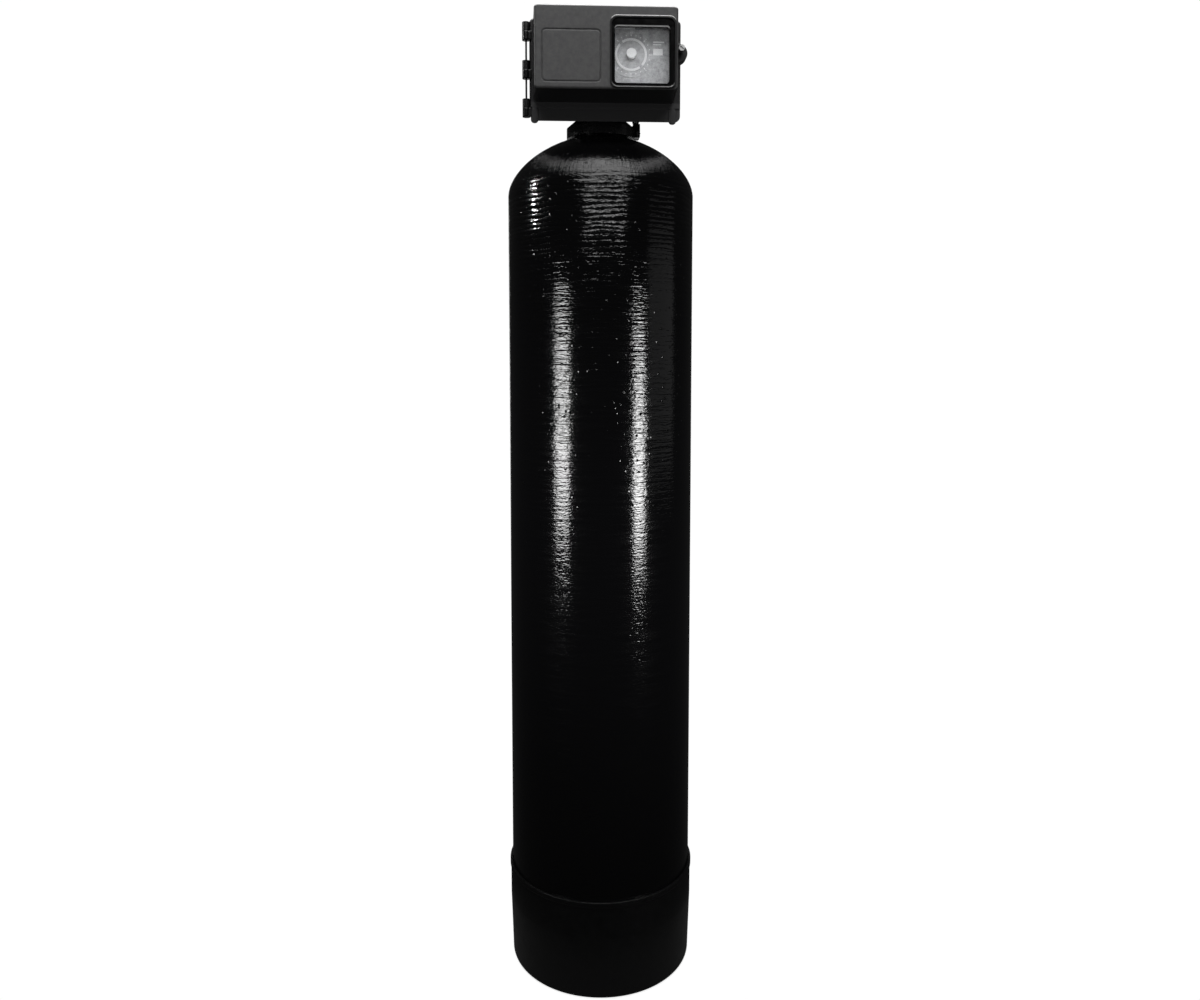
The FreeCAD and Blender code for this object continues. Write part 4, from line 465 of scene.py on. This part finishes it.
def window_seal():
    """Black rubber frame in the step round the window, with a lip along the opening."""
    step_floor = WINDOW_FRAME_FACE + 1.5 * MM
    # Left, right, foot, top and corner radius of the seal's outer and inner outlines
    outer = (PANE_LOW[0], PANE_HIGH[0] + 3.8 * MM, PANE_LOW[2], PANE_HIGH[2] + 9.2 * MM,
             9.0 * MM)
    lap = 4.6 * MM
    inner = (PANE_LOW[0] + lap, PANE_HIGH[0] - lap, PANE_LOW[2] + lap, PANE_HIGH[2] - lap,
             9.0 * MM - lap)
    # Its section: how far in from the outer outline, as a share, and its height in mm
    section = ((0.0, 0.0), (0.0, 0.5), (0.03, 0.8), (0.10, 0.6), (0.76, 0.5), (0.84, 1.2),
               (0.93, 1.35), (1.0, 0.9), (1.0, 0.0))
    bm = bmesh.new()
    rings = []
    for share, height in section:
        outline = [a + share * (b - a) for a, b in zip(outer, inner)]
        rings.append(rounded_outline(bm, *outline, step_floor - height * MM))
    for ring, following in zip(rings, rings[1:] + rings[:1]):
        for i in range(len(ring)):
            j = (i + 1) % len(ring)
            bm.faces.new((ring[i], ring[j], following[j], following[i]))
    bmesh.ops.recalc_face_normals(bm, faces=bm.faces)
    mesh_piece("window_seal", bm, gloss_rubber, "cover")


def hour_marks():
    """Printed ring of hours on the day dial: a tick each hour, longer at each third."""
    width, top = 1.4 * MM, 30.6 * MM
    bm = bmesh.new()
    for hour in range(24):
        foot = 27.8 * MM if hour % 3 == 0 else 29.0 * MM
        verts = plate(bm, DIAL_X - width / 2, DIAL_X + width / 2, DIAL_Z + foot, DIAL_Z + top,
                      DIAL_FACE, 0.12 * MM)
        turn_about_dial(bm, verts, 15 * hour)
    mesh_piece("hour_marks", bm, knob_white, "day_dial")


def hour_numbers():
    """Plain numbers at each third hour, upright when each is at the top."""
    size, thickness, radius = 4.2 * MM, 0.12 * MM, 32.7 * MM
    bm = bmesh.new()
    depsgraph = bpy.context.evaluated_depsgraph_get()
    for hour in range(3, 25, 3):
        text = bpy.data.curves.new("number", "FONT")
        text.body = str(hour)
        text.size = size
        text.align_x = "CENTER"
        text.align_y = "CENTER"
        text.extrude = thickness / 2
        holder = bpy.data.objects.new("number", text)
        bpy.context.collection.objects.link(holder)
        depsgraph.update()
        mesh = bpy.data.meshes.new_from_object(holder.evaluated_get(depsgraph))
        first = len(bm.verts)
        bm.from_mesh(mesh)
        bm.verts.ensure_lookup_table()
        verts = bm.verts[first:]
        bmesh.ops.rotate(bm, verts=verts, cent=(0, 0, 0),
                         matrix=Matrix.Rotation(math.pi / 2, 3, "X"))
        bmesh.ops.translate(bm, verts=verts,
                            vec=(DIAL_X, DIAL_FACE - thickness / 2, DIAL_Z + radius))
        turn_about_dial(bm, verts, 15 * hour)
        bpy.data.objects.remove(holder)
        bpy.data.meshes.remove(mesh)
    mesh_piece("hour_numbers", bm, knob_white, "day_dial")


def panel_prints():
    """Bare printed blocks on the face panel, where such panels carry their notes."""
    # Left, right, foot and top of each, in mm
    blocks = ((76.5, 91.5, 1517.5, 1527.5), (17.0, 48.0, 1556.5, 1560.0),
              (76.5, 93.5, 1536.5, 1538.5), (76.5, 89.0, 1533.0, 1534.5))
    bm = bmesh.new()
    for block in blocks:
        plate(bm, *(size * MM for size in block), PANEL_FACE, 0.1 * MM)
    mesh_piece("panel_prints", bm, knob_white, "tank_and_valve")


window_seal()
hour_marks()
hour_numbers()
panel_prints()


# Stage, lamps and camera
def shown_through(tree):
    """The light path, and 1 where the camera looks, straight or through the window."""
    path = add(tree, "LightPath")
    seen = add(tree, "Math", [path.outputs["Is Camera Ray"], path.outputs["Is Transmission Ray"]],
               operation="MAXIMUM")
    return path, seen


def floor_finish():
    """Pale paper. It shows as white, and keeps the shadow under the boot."""
    material, tree, _ = new_material("pale_paper")
    path, seen = shown_through(tree)
    strength = add(tree, "Math", [seen, 0.85], operation="MULTIPLY")
    glow = add(tree, "Emission", {"Color": linear("#ffffff"), "Strength": strength})
    paper = add(tree, "BsdfDiffuse", {"Color": linear("#bcbcbc")})
    both = add(tree, "AddShader", [paper, glow])
    # Mirrored, the floor is dim: the photo's boot and lower tank show next to none of it
    dim = add(tree, "Emission", {"Color": linear("#ffffff"), "Strength": 0.06})
    mix = add(tree, "MixShader", [path.outputs["Is Glossy Ray"], both, dim])
    add(tree, "OutputMaterial", {"Surface": mix})
    return material


def pale_floor():
    """Round sheet of paper under the boot."""
    bm = bmesh.new()
    bmesh.ops.create_circle(bm, cap_ends=True, segments=96, radius=0.28)
    mesh = bpy.data.meshes.new("floor")
    bm.to_mesh(mesh)
    bm.free()
    mesh.materials.append(floor_finish())
    floor = bpy.data.objects.new("floor", mesh)
    bpy.context.collection.objects.link(floor)


def studio():
    """White where the camera looks. A mirror-like surface sees the white backdrop straight
    behind the object, and a dim room elsewhere."""
    world = bpy.data.worlds.new("studio")
    bpy.context.scene.world = world
    world.use_nodes = True
    tree = world.node_tree
    tree.nodes.clear()
    path, seen = shown_through(tree)
    towards = add(tree, "SeparateXYZ", [add(tree, "TexCoord").outputs["Generated"]])
    backdrop = add(tree, "MapRange", [towards.outputs[1], 0.96, 0.985, 0.0, 1.0])
    mirrored = add(tree, "Math", [backdrop, path.outputs["Is Glossy Ray"]],
                   operation="MULTIPLY")
    white = add(tree, "Math", [seen, mirrored], operation="MAXIMUM")
    strength = add(tree, "MapRange", [white, 0.0, 1.0, 0.018, 1.01])
    background = add(tree, "Background", {"Color": linear("#ffffff"), "Strength": strength})
    add(tree, "OutputWorld", {"Surface": background})


def softbox(name, place, target, width, height, watts, spread_degrees=180):
    """Soft box at a place, turned to a target. A grid narrows its spread."""
    lamp = bpy.data.lights.new(name, "AREA")
    lamp.spread = math.radians(spread_degrees)
    lamp.shape = "RECTANGLE"
    lamp.size = width
    lamp.size_y = height
    lamp.energy = watts
    holder = bpy.data.objects.new(name, lamp)
    holder.location = place
    direction = Vector(target) - Vector(place)
    holder.rotation_euler = direction.to_track_quat("-Z", "Y").to_euler()
    bpy.context.collection.objects.link(holder)


def photo_camera():
    """Camera in front, a little to the left and two thirds up, as the photograph was taken."""
    camera_data = bpy.data.cameras.new("camera")
    camera_data.sensor_fit = "HORIZONTAL"
    camera_data.sensor_width = 36.0
    camera_data.lens = 28.804
    camera_data.shift_x = -0.0004
    camera_data.shift_y = -0.06156
    camera = bpy.data.objects.new("camera", camera_data)
    camera.location = (-0.0861, -1.6426, 1.0604)
    tilt_down = 0.080
    camera.rotation_euler = (math.pi / 2 - tilt_down, 0, math.radians(-3))
    bpy.context.collection.objects.link(camera)
    bpy.context.scene.camera = camera


pale_floor()
studio()
# Two soft boxes with grids, one each side of the camera, draw the two bright bands on the
# tank
softbox("left_strip", (-1.213, -1.05, 0.80), (0, 0, 0.80), 0.50, 0.50, 1.18, 48)
softbox("right_strip", (1.106, -1.166, 0.72), (0, 0, 0.72), 0.38, 0.50, 1.20, 48)
# A wide soft box overhead lights the cover and lies across the dome
softbox("top_box", (0.1, -0.35, 3.27), (0.1, -0.35, 1.42), 2.1, 2.5, 56)
# A wide, low soft box in front, high enough to stay out of the window, fills the cover's face
# and the dial and puts level glints down the middle of the tank below the shoulder
softbox("front_box", (0.12, -2.4, 2.86), (0, 0, 1.35), 2.3, 0.30, 14.5)
# A small lamp high on the left puts glints on the dome's left shoulder
softbox("left_spot", (-1.5, 0.13, 2.1), (0, 0, 1.33), 0.10, 0.10, 5)
# A dim wall to the right
softbox("right_wall", (1.646, -0.44, 1.22), (0, 0, 1.22), 1.2, 1.0, 0.75)
photo_camera()
bpy.context.scene.view_settings.view_transform = "Standard"
